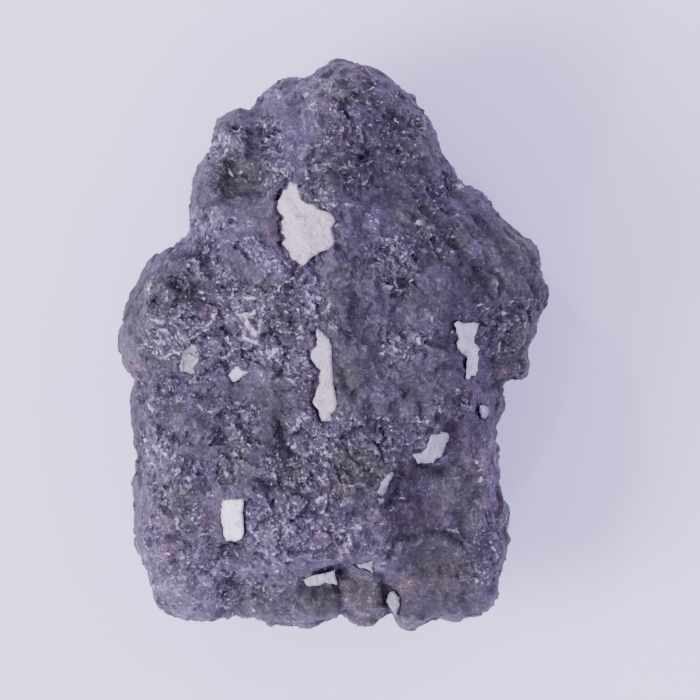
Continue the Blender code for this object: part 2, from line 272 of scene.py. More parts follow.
def outline_distance(xy, outline):
    """Signed distance in plan to a closed outline, less than 0 inside, and the outward direction there."""
    a = np.array(outline, float)
    b = np.roll(a, -1, 0)
    best = np.full(len(xy), 1e9)
    out = np.zeros((len(xy), 2))
    inside = np.zeros(len(xy), bool)
    for (ax, ay), (bx, by) in zip(a, b):
        e = np.array([bx - ax, by - ay])
        w = xy - (ax, ay)
        t = np.clip((w @ e) / (e @ e), 0, 1)
        off = w - t[:, None] * e
        d = np.sqrt((off**2).sum(1))
        nearer = d < best
        best[nearer] = d[nearer]
        out[nearer] = off[nearer]
        crosses = (ay > xy[:, 1]) != (by > xy[:, 1])
        with np.errstate(divide="ignore", invalid="ignore"):
            cut = ax + (xy[:, 1] - ay) * (bx - ax) / (by - ay)
        inside ^= crosses & (xy[:, 0] < cut)
    out /= np.maximum(best, 1e-6)[:, None]
    out[inside] *= -1
    return np.where(inside, -best, best), out


# ------------------------------------------------------------------ surface
# Ridges and furrows: a line in plan, its width and its height or depth.
# Lobes: smooth swellings: x, y, half-width, half-height, turn, height. Strokes: pale
# blades of crystal, also painted in as glints: from, to, width, strength. The rest are soft-edged spots: x, y,
# half-width, half-height, turn in degrees.
RIDGES = (
    (((-113, 76), (-99, 86), (-83, 88), (-63, 80), (-41, 64)), 9, 3.2),
    (((-150, 12), (-146, 4), (-138, 6), (-128, 14), (-116, 27)), 3.2, 2.4),
    (((-23, 195), (-9, 197), (8, 207)), 4, 2.4),
    (((12, -85), (24, -79), (36, -74)), 4, 3),
    (((8, -141), (19, -140), (31, -138)), 2.6, 2.4),
    (((152, -104), (151, -126), (150, -146), (157, -162), (163, -176)), 4.5, 3.6),
    (((-26, 226), (-17, 232), (-10, 239)), 3, 2.2),
    (((-69, 40), (-65, 26), (-66, 8)), 4, 2.2),
    (((-106, 38), (-91, 37), (-73, 38)), 3, 2),
    (((-135, 86), (-131, 96), (-121, 98), (-115, 90)), 3.2, 2.2),
    (((-23, 52), (-19, 44), (-17, 32)), 3.5, 2.2),
    (((-34, 66), (-43, 56), (-51, 60)), 3, 2),
    (((-68, -6), (-59, -12), (-48, -1)), 4, 2),
    (((15, -54), (27, -52), (33, -60)), 2.4, 1.8),
    (((-155, -18), (-149, -28), (-139, -30), (-131, -42)), 3, 2),
    (((19, -248), (25, -258), (37, -266), (49, -262)), 3.6, 2.6),
    (((67, -186), (51, -174), (29, -172)), 5, 2.6),
    (((1, 74), (11, 82), (21, 74)), 5, 2),
    (((57, 62), (65, 56), (71, 51)), 3.4, 2.2),
    (((139, 118), (153, 104), (169, 82)), 5, 2.6),
    (((169, 112), (181, 100), (189, 82)), 4.5, 2.4),
    (((121, 128), (131, 112), (143, 94)), 5, 2.2),
    (((9, 158), (3, 146), (-1, 132)), 3, 1.8),
    (((-9, 148), (-5, 140), (3, 136)), 2.6, 2),
)
FURROWS = (
    (((-48, 166), (-52, 152), (-55, 138)), 8, 7),
    (((-117, 142), (-103, 146), (-89, 152), (-69, 152)), 4.5, 4.2),
    (((-131, 56), (-109, 52), (-85, 60)), 7, 3.6),
    (((-39, 58), (-42, 42), (-39, 24)), 7, 4.6),
    (((-127, 10), (-109, 10), (-91, 14)), 6, 3.6),
    (((-59, -52), (-51, -68), (-45, -92), (-41, -106)), 9, 1.8),
    (((-125, -74), (-113, -80), (-105, -92)), 5, 4),
    (((-105, -204), (-95, -204), (-87, -200)), 6, 7),
    (((11, -28), (19, -42), (25, -48)), 8, 4.6),
    (((35, -60), (43, -66)), 6, 4),
    (((85, -122), (99, -126), (111, -126)), 5, 6),
    (((107, -72), (119, -80), (127, -96)), 7, 4.6),
    (((60, -212), (64, -197), (75, -188), (97, -185), (119, -190), (133, -197)), 4.2, 4.4),
    (((11, -276), (10, -262), (7, -240), (9, -224)), 3.2, 5),
    (((60, -276), (57, -262), (53, -244), (46, -228)), 3.2, 4.5),
    (((-27, -242), (-11, -243), (7, -243)), 2.2, 1.4),
    (((-29, -246), (-28, -260), (-21, -272)), 3, 1.4),
    (((-157, 64), (-149, 52), (-135, 48)), 8, 3),
    (((-103, 223), (-98, 218), (-93, 216)), 2.4, 4.5),
    (((-3, 100), (-11, 80), (-25, 72)), 4, 2.4),
    (((-75, 198), (-78, 184), (-73, 168)), 6, 3),
    (((-1, 226), (-5, 218), (3, 216)), 5, 3),
    (((34, 192), (41, 184), (53, 168)), 6, 3),
    (((23, 144), (35, 140), (47, 144)), 6, 2.6),
    (((21, 64), (25, 44), (23, 18)), 6, 3.4),
    (((47, 64), (55, 44), (59, 32)), 6, 3.2),
    (((73, 176), (81, 158), (89, 140), (99, 122)), 4, 2.8),
    (((93, 172), (103, 152), (115, 134)), 4, 2.6),
    (((147, 110), (161, 92), (173, 80)), 4.5, 3),
    (((113, 112), (125, 96), (133, 82)), 4, 2.6),
    (((131, 86), (145, 72), (155, 60)), 5, 2.6),
    (((9, -150), (21, -148), (31, -146)), 4, 2.6),
    (((-41, -161), (-27, -168), (-13, -166)), 6, 3),
    (((-79, -126), (-63, -136), (-55, -154)), 5, 3),
    (((153, -42), (169, -40), (185, -36)), 4, 3.4),
    (((166, -58), (161, -74), (165, -96)), 4, 2.2),
    (((-171, -42), (-155, -48), (-135, -36)), 5, 2.2),
    (((-149, -134), (-147, -148), (-153, -162)), 4, 2.4),
    (((-31, -212), (-15, -218), (3, -212)), 4, 2.2),
    (((-181, -192), (-175, -208), (-165, -222)), 5, 2.4),
    (((77, 98), (87, 92), (99, 82)), 5, 2.4),
)
LOBES = (
    (-8, -258, 22, 20, 0, 5),
    (31, -247, 23, 27, 0, 6),
    (115, -238, 58, 50, 0, 4),
    (74, -268, 20, 14, 0, 3),
)
STROKES = (
    (-98, 211, -91, 215, 1.8, 1), (-118, 197, -112, 201, 1.6, 0.9), (-112, 200, -110, 206, 1.6, 0.9),
    (-105, 197, -102, 204, 1.5, 1), (-107, 186, -103, 193, 1.4, 0.7), (-93, 183, -88, 184, 1.6, 0.9),
    (-100, 172, -97, 167, 1.6, 0.9), (-92, 168, -88, 171, 1.4, 0.7), (-117, 188, -119, 182, 1.4, 0.6),
    (-109, 176, -106, 171, 1.3, 0.6), (-88, 193, -85, 197, 1.3, 0.6), (-66, 204, -64, 202, 1.8, 0.9),
    (-66, 217, -63, 214, 1.5, 0.7), (-59, 216, -56, 217, 1.3, 0.6), (-69, 195, -67, 192, 1.4, 0.7),
    (-61, 194, -60, 190, 1.4, 0.7), (-66, 183, -64, 179, 1.5, 0.8), (-57, 174, -55, 170, 1.6, 0.8),
    (-50, 172, -46, 165, 1.6, 0.9), (-63, 175, -61, 171, 1.4, 0.7), (-80, 178, -79, 173, 1.5, 0.7),
    (-75, 167, -72, 163, 1.4, 0.6), (-134, 119, -130, 124, 1.5, 0.8), (-127, 133, -124, 131, 1.5, 0.8),
    (-138, 115, -141, 112, 1.3, 0.6), (-131, 128, -128, 126, 1.3, 0.6), (-18, 231, -11, 239, 2, 0.8),
    (-30, 224, -20, 236, 1.3, 0.5), (-22, 196, -7, 197, 2.6, 0.6), (-7, 197, 7, 205, 2.2, 0.6),
    (4, 231, 5, 229, 2.2, 0.9), (12, 230, 13, 228, 1.5, 0.8), (24, 242, 28, 241, 1.4, 0.8),
    (37, 237, 39, 236, 1.5, 0.9), (30, 237, 32, 235, 1.2, 0.7), (-5, 237, -3, 236, 1.6, 0.7),
    (-15, 216, -12, 214, 1.8, 0.7), (12, 173, 21, 175, 1.9, 0.95), (5, 175, 10, 174, 1.4, 0.6),
    (-19, 180, -14, 174, 2.6, 0.7), (-9, 177, -2, 176, 2.4, 0.6), (-27, 171, -23, 168, 2.2, 0.6),
    (-39, 196, -38, 194, 2.2, 0.7), (-26, 162, -18, 162, 1.3, 0.7), (15, 199, 19, 195, 1.5, 0.8),
    (17, 160, 21, 162, 1.4, 0.7), (32, 179, 36, 177, 1.3, 0.6), (55, 238, 53, 233, 1.2, 0.5),
    (-8, 149, -3, 145, 1.4, 0.8), (-11, 136, -5, 135, 1.6, 0.8), (13, 137, 22, 136, 3, 0.75),
    (3, 136, 7, 139, 2, 0.7), (24, 141, 33, 138, 2, 0.5), (35, 129, 40, 125, 2, 0.6), (42, 123, 47, 118, 1.8, 0.6),
    (-85, 104, -84, 103, 2, 1), (-81, 104, -80, 104, 2, 1), (-104, 101, -101, 101, 1.7, 0.8),
    (-97, 100, -95, 100, 1.6, 0.8), (-112, 98, -111, 97, 1.5, 0.6), (-132, 91, -122, 97, 1.5, 0.9),
    (-131, 98, -126, 97, 1.4, 0.9), (-138, 82, -134, 80, 1.8, 0.9), (-138, 87, -135, 82, 1.4, 0.6),
    (-116, 83, -115, 79, 1.6, 0.9), (-123, 92, -118, 87, 1.3, 0.6), (-131, 70, -128, 67, 1.4, 0.7),
    (-179, 53, -175, 58, 1.8, 1), (-130, 53, -126, 51, 2.2, 1), (-127, 47, -125, 45, 1.8, 0.9),
    (-112, 49, -107, 43, 2, 1), (-103, 42, -98, 45, 1.8, 0.8), (-96, 54, -95, 48, 1.6, 0.7),
    (-83, 45, -75, 45, 2.8, 1), (-103, 27, -100, 29, 2, 0.9), (-92, 28, -85, 27, 1.6, 0.9),
    (-84, 28, -75, 30, 3.4, 1), (-83, 22, -74, 10, 4.2, 0.95), (-99, 36, -85, 35, 1.7, 0.6),
    (-95, 31, -87, 32, 1.2, 0.6), (-176, 24, -167, 21, 2.2, 1), (-169, 14, -161, 10, 2.4, 0.9),
    (-150, 11, -145, 4, 1.7, 0.95), (-145, 3, -133, 7, 1.5, 0.8), (-132, 9, -119, 15, 1.5, 0.8),
    (-123, 17, -113, 25, 1.8, 0.8), (-144, 15, -135, 21, 1.3, 0.7), (-141, 10, -132, 16, 1.2, 0.6),
    (-116, 27, -113, 29, 2.6, 1), (-135, 25, -129, 22, 1.5, 0.7), (-148, 30, -145, 33, 2, 0.7),
    (-183, -1, -173, -5, 1.6, 0.9), (-171, -7, -165, -11, 1.5, 0.9), (-164, -13, -155, -8, 1.8, 1),
    (-175, 3, -169, 0, 2.2, 0.8), (-178, -9, -175, -11, 1.6, 0.9), (-169, -13, -161, -16, 1.5, 0.9),
    (-161, -1, -155, -4, 1.2, 0.6), (-153, -9, -151, -10, 1.8, 1), (-197, -19, -195, -18, 1.5, 0.9),
    (-187, -24, -185, -26, 1.4, 0.8), (-102, 6, -99, -1, 1.8, 0.9), (-116, 1, -112, 2, 1.4, 0.6),
    (-93, 5, -90, 3, 1.2, 0.5), (-66, 34, -65, 28, 1.4, 0.9), (-67, 23, -70, 10, 2, 0.7),
    (-63, 26, -64, 14, 1.3, 0.5), (-85, 6, -73, 2, 3.2, 0.8), (-63, -8, -53, -6, 4.5, 0.75),
    (-60, -13, -51, -5, 2.6, 0.7), (-71, 0, -65, -7, 2.2, 0.6), (-92, -6, -88, -8, 1.2, 0.6),
    (-75, -8, -71, -9, 1.2, 0.6), (-107, -13, -102, -12, 1.3, 0.7), (-99, -18, -94, -19, 1.2, 0.6),
    (-76, -17, -73, -15, 1.3, 0.7), (-68, -18, -64, -17, 1.3, 0.7), (-123, -12, -120, -10, 1.4, 0.6),
    (-115, -16, -111, -18, 1.4, 0.5), (-69, 82, -59, 79, 1.8, 0.7), (-65, 86, -51, 81, 1.6, 0.6),
    (-50, 78, -45, 72, 1.8, 0.7), (-56, 59, -48, 53, 1.5, 0.7), (-51, 56, -36, 65, 1.8, 0.8),
    (-42, 50, -37, 54, 1.8, 0.8), (-54, 52, -49, 50, 1.3, 0.7), (-23, 50, -19, 45, 2, 0.95),
    (-20, 40, -16, 36, 1.8, 0.8), (-16, 66, -15, 62, 1.5, 0.8), (-8, 60, -8, 54, 1.3, 0.7), (-6, 31, -1, 39, 2, 0.7),
    (-26, 30, -21, 32, 2.2, 0.8), (-46, 32, -40, 28, 2.2, 0.8), (-50, 22, -42, 19, 1.6, 0.6),
    (-46, 40, -42, 38, 1.5, 0.6), (-31, 17, -26, 11, 2.8, 0.6), (-48, 12, -38, 11, 1.6, 0.6),
    (-33, 5, -27, 8, 1.8, 0.6), (5, 19, 6, 15, 1.3, 0.7), (-64, 42, -55, 46, 2.2, 0.6), (-69, 98, -75, 103, 3, 0.5),
    (-46, -8, -35, -6, 1.6, 0.6), (-54, -14, -48, -20, 2, 0.6), (-43, -18, -39, -28, 1.5, 0.6),
    (-37, -22, -31, -30, 1.5, 0.6), (-41, -34, -33, -40, 1.5, 0.6), (-31, -18, -26, -24, 1.3, 0.5),
    (64, 64, 66, 56, 1.8, 0.9), (69, 54, 71, 51, 1.5, 0.95), (60, -2, 64, -5, 2.4, 0.9), (59, 3, 63, 0, 1.6, 0.7),
    (66, -5, 69, -8, 1.6, 0.7), (71, -13, 72, -14, 1.4, 0.9), (70, 99, 72, 97, 1.6, 0.8), (80, 6, 83, 2, 1.8, 0.6),
    (67, 82, 71, 82, 1.6, 0.6), (11, -20, 19, -28, 1.4, 0.5), (56, 52, 61, 57, 1.3, 0.5),
    (126, 158, 130, 157, 2.2, 1), (132, 155, 133, 154, 1.4, 0.7), (86, 146, 87, 144, 1.3, 0.8),
    (84, 132, 87, 131, 1.2, 0.7), (96, 115, 98, 114, 1.2, 0.6), (99, 107, 104, 108, 1.4, 0.8),
    (112, 102, 115, 103, 1.3, 0.6), (124, 128, 125, 127, 1.3, 0.8), (134, 65, 135, 64, 1.2, 0.7),
    (180, 100, 184, 98, 1.6, 0.6), (182, 84, 187, 85, 1.8, 0.6), (168, 120, 168, 115, 1.5, 0.5),
    (113, 76, 117, 74, 1.8, 0.5), (164, 72, 169, 69, 1.2, 0.4), (147, 37, 150, 41, 1.9, 0.8),
    (180, 43, 183, 42, 1.6, 0.7), (194, 44, 200, 43, 2.2, 0.8), (193, 36, 198, 38, 2, 0.8),
    (192, 22, 193, 18, 1.4, 0.8), (169, 22, 176, 20, 2.4, 0.7), (166, -2, 169, 1, 2, 0.9), (165, -7, 169, -9, 2, 0.6),
    (124, -45, 126, -46, 1.9, 0.9), (133, -59, 136, -62, 1.4, 0.7), (173, -27, 175, -27, 1.2, 0.6),
    (107, -60, 108, -68, 1.2, 0.7), (99, 26, 100, 22, 1.2, 0.6), (92, 32, 93, 34, 1.2, 0.5),
    (181, -22, 182, -24, 1.1, 0.5), (187, 6, 188, 5, 1.1, 0.5), (85, -72, 88, -78, 1.6, 1),
    (81, -75, 89, -84, 3.6, 0.4), (55, -75, 58, -75, 1.9, 1), (58, -93, 59, -97, 1.5, 0.95),
    (44, -91, 46, -93, 1.3, 0.7), (17, -98, 19, -99, 1.5, 0.9), (1, -97, 2, -98, 1.2, 0.6),
    (23, -93, 25, -94, 1.4, 0.6), (16, -82, 25, -80, 2.2, 0.6), (26, -78, 35, -74, 2.4, 0.65),
    (-26, -75, -21, -73, 1.9, 0.9), (-35, -76, -28, -70, 2.6, 0.6), (-34, -81, -30, -77, 2.2, 0.6),
    (-23, -66, -19, -70, 1.6, 0.5), (-13, -80, -15, -90, 1.8, 0.6), (-6, -89, -1, -90, 2.4, 0.7),
    (-43, -97, -41, -99, 1.3, 0.7), (-35, -106, -27, -108, 1.6, 0.6), (-19, -99, -13, -103, 1.8, 0.6),
    (-6, -107, 1, -112, 1.8, 0.9), (-9, -110, -11, -118, 1.6, 0.6), (-5, -119, -1, -121, 1.6, 0.8),
    (-17, -117, -14, -119, 2.2, 0.7), (-49, -121, -46, -117, 1.6, 0.7), (-58, -129, -54, -134, 1.6, 0.8),
    (-32, -130, -28, -125, 1.8, 0.8), (-41, -136, -36, -142, 1.5, 0.8), (-33, -140, -29, -143, 1.4, 0.6),
    (-27, -134, -23, -140, 1.3, 0.7), (-12, -131, -7, -137, 1.8, 0.9), (-13, -153, -7, -151, 2.2, 1),
    (-26, -153, -22, -158, 1.4, 0.8), (-22, -142, -15, -144, 1.3, 0.6), (-52, -146, -46, -150, 1.4, 0.6),
    (10, -140, 18, -140, 1.5, 0.8), (19, -141, 27, -137, 1.5, 0.8), (28, -139, 31, -140, 1.3, 0.6),
    (17, -118, 20, -120, 1.4, 0.6), (25, -114, 29, -112, 1.4, 0.6), (41, -126, 44, -122, 1.5, 0.8),
    (35, -116, 37, -118, 1.4, 0.6), (25, -149, 27, -150, 1.2, 0.5), (30, -156, 31, -159, 1.2, 0.6),
    (-44, -189, -41, -182, 1.9, 1), (-51, -160, -47, -166, 1.7, 0.7), (-42, -156, -41, -164, 1.5, 0.8),
    (-55, -162, -54, -168, 1.4, 0.6), (-71, -178, -69, -186, 1.8, 0.6), (-63, -174, -57, -180, 1.8, 0.6),
    (-76, -186, -71, -194, 2, 0.7), (-66, -190, -59, -186, 1.8, 0.6), (-49, -174, -45, -180, 1.8, 0.6),
    (-35, -174, -31, -180, 1.8, 0.6), (-55, -196, -47, -202, 2, 0.6), (-33, -201, -32, -208, 1.7, 0.8),
    (-41, -211, -38, -213, 2.4, 0.8), (-29, -186, -25, -194, 1.6, 0.5), (-69, -203, -63, -208, 2.2, 0.6),
    (-7, -167, -2, -169, 2, 0.8), (10, -184, 16, -186, 2.4, 0.9), (8, -190, 12, -193, 1.8, 0.7),
    (17, -188, 19, -196, 2, 0.8), (26, -178, 29, -182, 1.5, 0.8), (15, -202, 16, -208, 1.8, 0.9),
    (9, -205, 11, -209, 1.6, 0.7), (-11, -200, -5, -202, 1.8, 0.5), (-79, -170, -75, -176, 1.8, 0.5),
    (-183, -104, -181, -112, 1.5, 1), (-176, -100, -173, -106, 1.5, 0.9), (-171, -97, -169, -102, 1.6, 0.9),
    (-179, -118, -175, -122, 1.5, 0.8), (-168, -105, -163, -111, 1.8, 0.8), (-161, -114, -158, -118, 1.5, 0.6),
    (-187, -93, -184, -97, 1.5, 0.7), (-173, -122, -170, -118, 1.4, 0.6), (-151, -128, -147, -126, 1.8, 0.7),
    (-141, -131, -139, -136, 1.5, 0.8), (-134, -122, -132, -127, 1.5, 0.8), (-147, -112, -145, -116, 1.6, 0.7),
    (-159, -146, -155, -144, 2.2, 0.9), (-167, -150, -163, -147, 1.6, 0.8), (-137, -143, -136, -147, 1.3, 0.6),
    (-142, -96, -141, -100, 1.4, 0.6), (-121, -67, -117, -68, 1.8, 0.9), (-131, -61, -123, -65, 1.8, 0.6),
    (-113, -89, -112, -91, 1.6, 0.9), (-98, -78, -96, -83, 1.5, 0.8), (-90, -87, -87, -94, 1.6, 0.9),
    (-95, -107, -93, -110, 1.6, 0.8), (-84, -102, -81, -107, 1.5, 0.6), (-86, -131, -82, -137, 2, 0.5),
    (-153, -55, -150, -57, 1.8, 0.7), (-147, -58, -143, -57, 1.4, 0.6), (-138, -50, -134, -50, 1.8, 0.7),
    (-113, -66, -110, -68, 1.4, 0.6), (-181, -52, -173, -46, 1.3, 0.6), (-171, -54, -165, -58, 1.3, 0.6),
    (-168, -44, -164, -48, 1.3, 0.6), (-79, -60, -73, -64, 1.3, 0.6), (-89, -67, -84, -65, 1.2, 0.5),
    (-152, -172, -151, -182, 1.5, 0.9), (-137, -172, -132, -168, 2, 0.7), (-130, -179, -129, -182, 1.5, 0.6),
    (-178, -176, -177, -182, 1.5, 0.7), (-153, -197, -143, -191, 1.6, 0.8), (-143, -183, -141, -185, 1.3, 0.6),
    (-142, -204, -140, -207, 1.5, 0.8), (-174, -196, -173, -199, 1.3, 0.5), (-186, -209, -184, -212, 1.5, 0.8),
    (-149, -209, -145, -212, 1.8, 0.6), (-126, -168, -125, -170, 1.4, 0.6), (-102, -205, -101, -208, 1.2, 0.6),
    (-84, -196, -83, -197, 1.2, 0.6), (-119, -148, -118, -149, 1.3, 0.7), (-164, -158, -160, -162, 1.4, 0.6),
    (100, -181, 107, -183, 1.8, 0.95), (95, -178, 100, -179, 1.2, 0.6), (117, -185, 125, -186, 2.2, 0.95),
    (133, -194, 137, -193, 1.5, 0.8), (159, -197, 161, -198, 1.4, 0.9), (162, -204, 164, -211, 2.2, 0.9),
    (143, -219, 147, -225, 1.6, 0.7), (128, -229, 129, -230, 1.3, 0.8), (144, -234, 145, -235, 1.3, 0.9),
    (154, -237, 155, -238, 1.5, 0.95), (151, -217, 154, -214, 1.3, 0.6), (141, -224, 145, -222, 1.3, 0.6),
    (161, -169, 164, -175, 1.6, 0.6), (150, -128, 151, -136, 1.4, 0.5), (156, -102, 160, -99, 1.5, 0.8),
    (147, -114, 153, -118, 1.3, 0.4), (139, -90, 141, -96, 2, 0.45), (75, -114, 77, -119, 1.6, 0.6),
    (43, -116, 47, -122, 1.3, 0.5), (24, -260, 37, -268, 1.6, 0.6), (29, -256, 41, -262, 1.4, 0.5),
    (38, -268, 47, -266, 1.3, 0.5), (55, -256, 59, -252, 2.2, 0.6), (-9, -267, -3, -270, 3, 0.4),
    (71, -268, 75, -274, 3.2, 0.4), (-165, -241, -159, -244, 1.5, 0.5), (-135, -222, -130, -225, 1.5, 0.6),
    (-117, -228, -113, -225, 1.5, 0.6), (-95, -233, -90, -235, 1.5, 0.5), (-79, -222, -73, -225, 1.6, 0.5),
    (-125, -245, -117, -247, 1.6, 0.5), (-155, -230, -151, -233, 1.4, 0.5), (-103, -248, -95, -250, 1.4, 0.4),
)
PALE = (
    (-112, -262, 40, 16, 8), (-92, -232, 26, 14, 0), (-128, -262, 30, 12, 0),
    (-46, -194, 42, 30, 0), (-81, 26, 24, 24, 0), (-13, -126, 18, 30, 0), (-29, -80, 16, 14, 0),
    (-109, 198, 16, 16, 20), (-61, 82, 24, 12, -30), (-59, -6, 16, 10, 0), 
    (-173, -108, 18, 22, 0), (-171, 4, 18, 16, 0), (-39, 198, 22, 20, 0), (17, 137, 20, 9, 0),
    (-131, -240, 60, 18, 5), (-141, 18, 20, 14, 30), (-51, 244, 20, 12, 0),
    (14, -194, 14, 16, 0), (-27, 178, 28, 10, 0),
    (157, -126, 12, 50, 0), (-19, 44, 10, 18, 0), (41, 126, 20, 14, -30), (-69, -36, 10, 8, 0),
    (-181, -216, 14, 30, 0), (-19, 256, 18, 12, 0), (-105, 118, 30, 14, 0), (149, 94, 22, 18, -40),
)
# spots of darker tone, some of them painted shade on the brightly lit left flank and in shadowed hollows
DARK_AND_SHADE = (
    (-198, 62, 18, 30, 0), (-196, 24, 10, 30, 0), (-60, -50, 22, 16, 0), (-24, -50, 15, 24, 0), (-96, -48, 20, 12, 0),
    (46, -84, 20, 18, 0), (118, -226, 36, 30, 0), (96, -258, 42, 18, 0), (82, -48, 16, 14, 0), (-203, -86, 12, 50, 0),
    (-103, 160, 26, 14, 0), (-155, 54, 24, 18, 0), (-43, 42, 11, 26, 0), (25, 54, 22, 58, 0), (21, -44, 16, 16, 0),
    (-50, -81, 14, 36, 0), (55, 44, 14, 26, 0), (117, -81, 20, 16, 0), (109, -201, 48, 16, 0), (-96, -198, 22, 16, 0),
    (-48, 152, 10, 18, 0), (-109, 11, 22, 8, 0), (-117, -80, 14, 12, 0), (-7, -254, 20, 14, 0), (29, -234, 20, 14, 0),
    (89, -126, 26, 14, 0), (69, -56, 26, 40, 0),
    (-21, -164, 16, 10, 0), (-55, -141, 14, 14, 0), (-77, 184, 8, 26, 0), (139, 59, 26, 18, 0),
    (114, 4, 14, 40, 0), (149, -21, 20, 16, 0), (4, 222, 14, 10, 0), (204, 44, 10, 26, 0),
    (-139, -136, 12, 28, 0), (-106, -32, 26, 9, 0), (-42, -34, 22, 20, 0), (-60, 108, 12, 28, 0),
)
# painted shade in deep recesses and on the brightly lit left flank
DEEP_SHADE = (
    (-8, -256, 16, 12, 0), (28, -240, 13, 10, 0),
    (-60, -50, 20, 16, 0), (-56, -86, 12, 24, 0), (81, -48, 14, 13, 0), (118, -221, 30, 18, 0), (119, -256, 34, 14, 0),
    (80, -258, 20, 12, 0), (-25, -50, 10, 20, 0), (46, -86, 15, 13, 0), (-94, -48, 15, 10, 0), (-204, 52, 14, 34, 0),
    (-201, -100, 12, 46, 0), (-106, -8, 16, 8, 0), (-50, 12, 10, 12, 0),
)
SOFT = (
    (172, -66, 34, 190, 0), (100, -171, 32, 28, 0), (29, 106, 28, 32, 0), (29, -171, 26, 26, 0), (149, 144, 24, 30, -40),
)
GLITTER = (
    (-109, 194, 22, 30, 0), (-61, 194, 16, 40, 0), (-131, 124, 18, 16, 0), (14, 249, 42, 26, 0), (21, 194, 30, 40, 0),
    (-11, 154, 18, 24, 0), (-126, 82, 24, 20, 0), (-156, 44, 30, 26, 0), (-96, 39, 44, 22, 0), (-166, -1, 28, 20, 0),
    (-141, 16, 26, 16, 0), (-46, 64, 22, 26, 0), (-46, 14, 28, 34, 0), (-19, 44, 14, 26, 0), (-96, -8, 44, 16, 0),
    (-173, -51, 30, 22, 0), (-173, -108, 26, 26, 0), (-141, -136, 26, 24, 0), (-161, -156, 22, 20, 0),
    (-99, -86, 26, 30, 0), (-101, -126, 18, 20, 0), (-26, -96, 34, 40, 0), (-21, -136, 40, 30, 0),
    (19, -106, 36, 34, 0), (-55, -186, 46, 40, 0), (9, -196, 22, 24, 0), (-159, -186, 34, 30, 0),
    (-131, -216, 40, 24, 0), (64, 59, 14, 20, 0), (64, -1, 14, 14, 0), (99, 144, 20, 60, -30), (89, 109, 34, 18, 0),
    (169, 14, 30, 28, 0), (194, 44, 16, 20, 0), (149, -216, 24, 30, 0), (49, -96, 26, 26, 0), (84, -76, 14, 14, 0),
    (134, -56, 16, 12, 0), (69, 94, 22, 22, 0), (-77, 94, 16, 16, 0), (-76, -64, 20, 12, 0), (69, 214, 24, 40, -20),
    (-41, -31, 22, 22, 0), (81, 4, 18, 18, 0), (-81, -246, 40, 14, 0),
)
DULL = (
    (115, -234, 56, 50, 0), (-7, -254, 20, 16, 0), (31, -244, 22, 26, 0), (114, -146, 36, 40, 0),
    (39, -32, 34, 22, 0), (-51, -74, 18, 34, 0), (104, -26, 30, 26, 0), (-206, -36, 12, 90, 0),
    (-141, 164, 18, 40, 0), (-101, 224, 26, 10, 0), (39, 278, 40, 12, 0), (189, 94, 26, 50, 0), (-91, 136, 26, 14, 0),
    (-36, 214, 28, 26, 0), (144, 124, 34, 22, -40), (-203, -196, 18, 80, 0), (139, -96, 26, 26, 0),
    (-191, 89, 24, 26, 0), (-51, -56, 18, 16, 0), (-81, -41, 30, 12, 0), (-126, -96, 14, 20, 0), (4, 59, 18, 22, 0),
    (69, -51, 30, 26, 0), (169, -56, 18, 24, 0), (-116, -231, 12, 8, 0), (-201, 24, 14, 60, 0), (69, 129, 20, 24, 0),
    (109, 54, 30, 30, 0),
)
RUST = (
    (29, 272, 22, 12, 0), (-5, 241, 14, 10, 0), (12, 210, 14, 12, 0), (14, 178, 12, 8, 0), (167, -31, 14, 10, 0),
    (139, -50, 14, 12, 0), (124, -86, 14, 20, 0), (87, -164, 26, 18, 0), (54, -174, 26, 12, 0), (-1, -142, 14, 12, 0),
    (-4, -191, 14, 12, 0), (14, -208, 12, 10, 0), (151, -116, 18, 22, 0), (174, -161, 8, 24, 0),
    (177, -194, 8, 16, 0), (76, -239, 12, 10, 0), (-165, -176, 14, 12, 0), (-163, -206, 16, 12, 0),
    (-118, -176, 12, 16, 0), (-195, -29, 12, 12, 0), (-117, 29, 12, 10, 0), (-81, 14, 10, 12, 0), (-22, 2, 8, 10, 0),
    (-22, -46, 8, 20, 0), (-55, 119, 8, 30, 0), (-33, 80, 12, 8, 0), (-41, 94, 6, 14, 0), (74, -130, 14, 12, 0),
)
GREEN = (
    (-91, 164, 26, 20, 0), (14, 254, 26, 16, 0), (89, 184, 24, 50, -20), (14, -41, 20, 26, 0), (24, -126, 28, 30, 0),
    (99, -216, 44, 36, 0), (174, 74, 40, 40, 0), (-96, -116, 18, 30, 0), (-36, -131, 16, 20, 0),
    (-55, -61, 16, 26, 0), (-156, 54, 28, 18, 0), (-66, 54, 14, 14, 0), (-211, -46, 12, 60, 0), (-198, 40, 18, 56, 20), (-6, -256, 18, 14, 0),
    (29, -241, 20, 20, 0), (139, 104, 26, 16, 0), (-1, 34, 10, 30, 0), (-151, -156, 18, 20, 0),
    (129, -156, 34, 26, 0), (84, 124, 24, 24, 0), (4, 169, 18, 20, 0), (196, 96, 14, 60, 20), (184, -6, 20, 40, 0),
)
FIBRE = (
    (69, 34, 60, 90, 0), (39, 94, 34, 40, 0), (-1, 44, 18, 50, 0), (99, 4, 34, 60, 0),
)


def from_line(xy, line):
    """Distance in plan to a line drawn through points."""
    best = np.full(len(xy), 1e9)
    for (ax, ay), (bx, by) in zip(line[:-1], line[1:]):
        e = np.array([bx - ax, by - ay], float)
        w = xy - (ax, ay)
        t = np.clip((w @ e) / max(e @ e, 1e-6), 0, 1)
        best = np.minimum(best, np.hypot(*(w - t[:, None] * e).T))
    return best


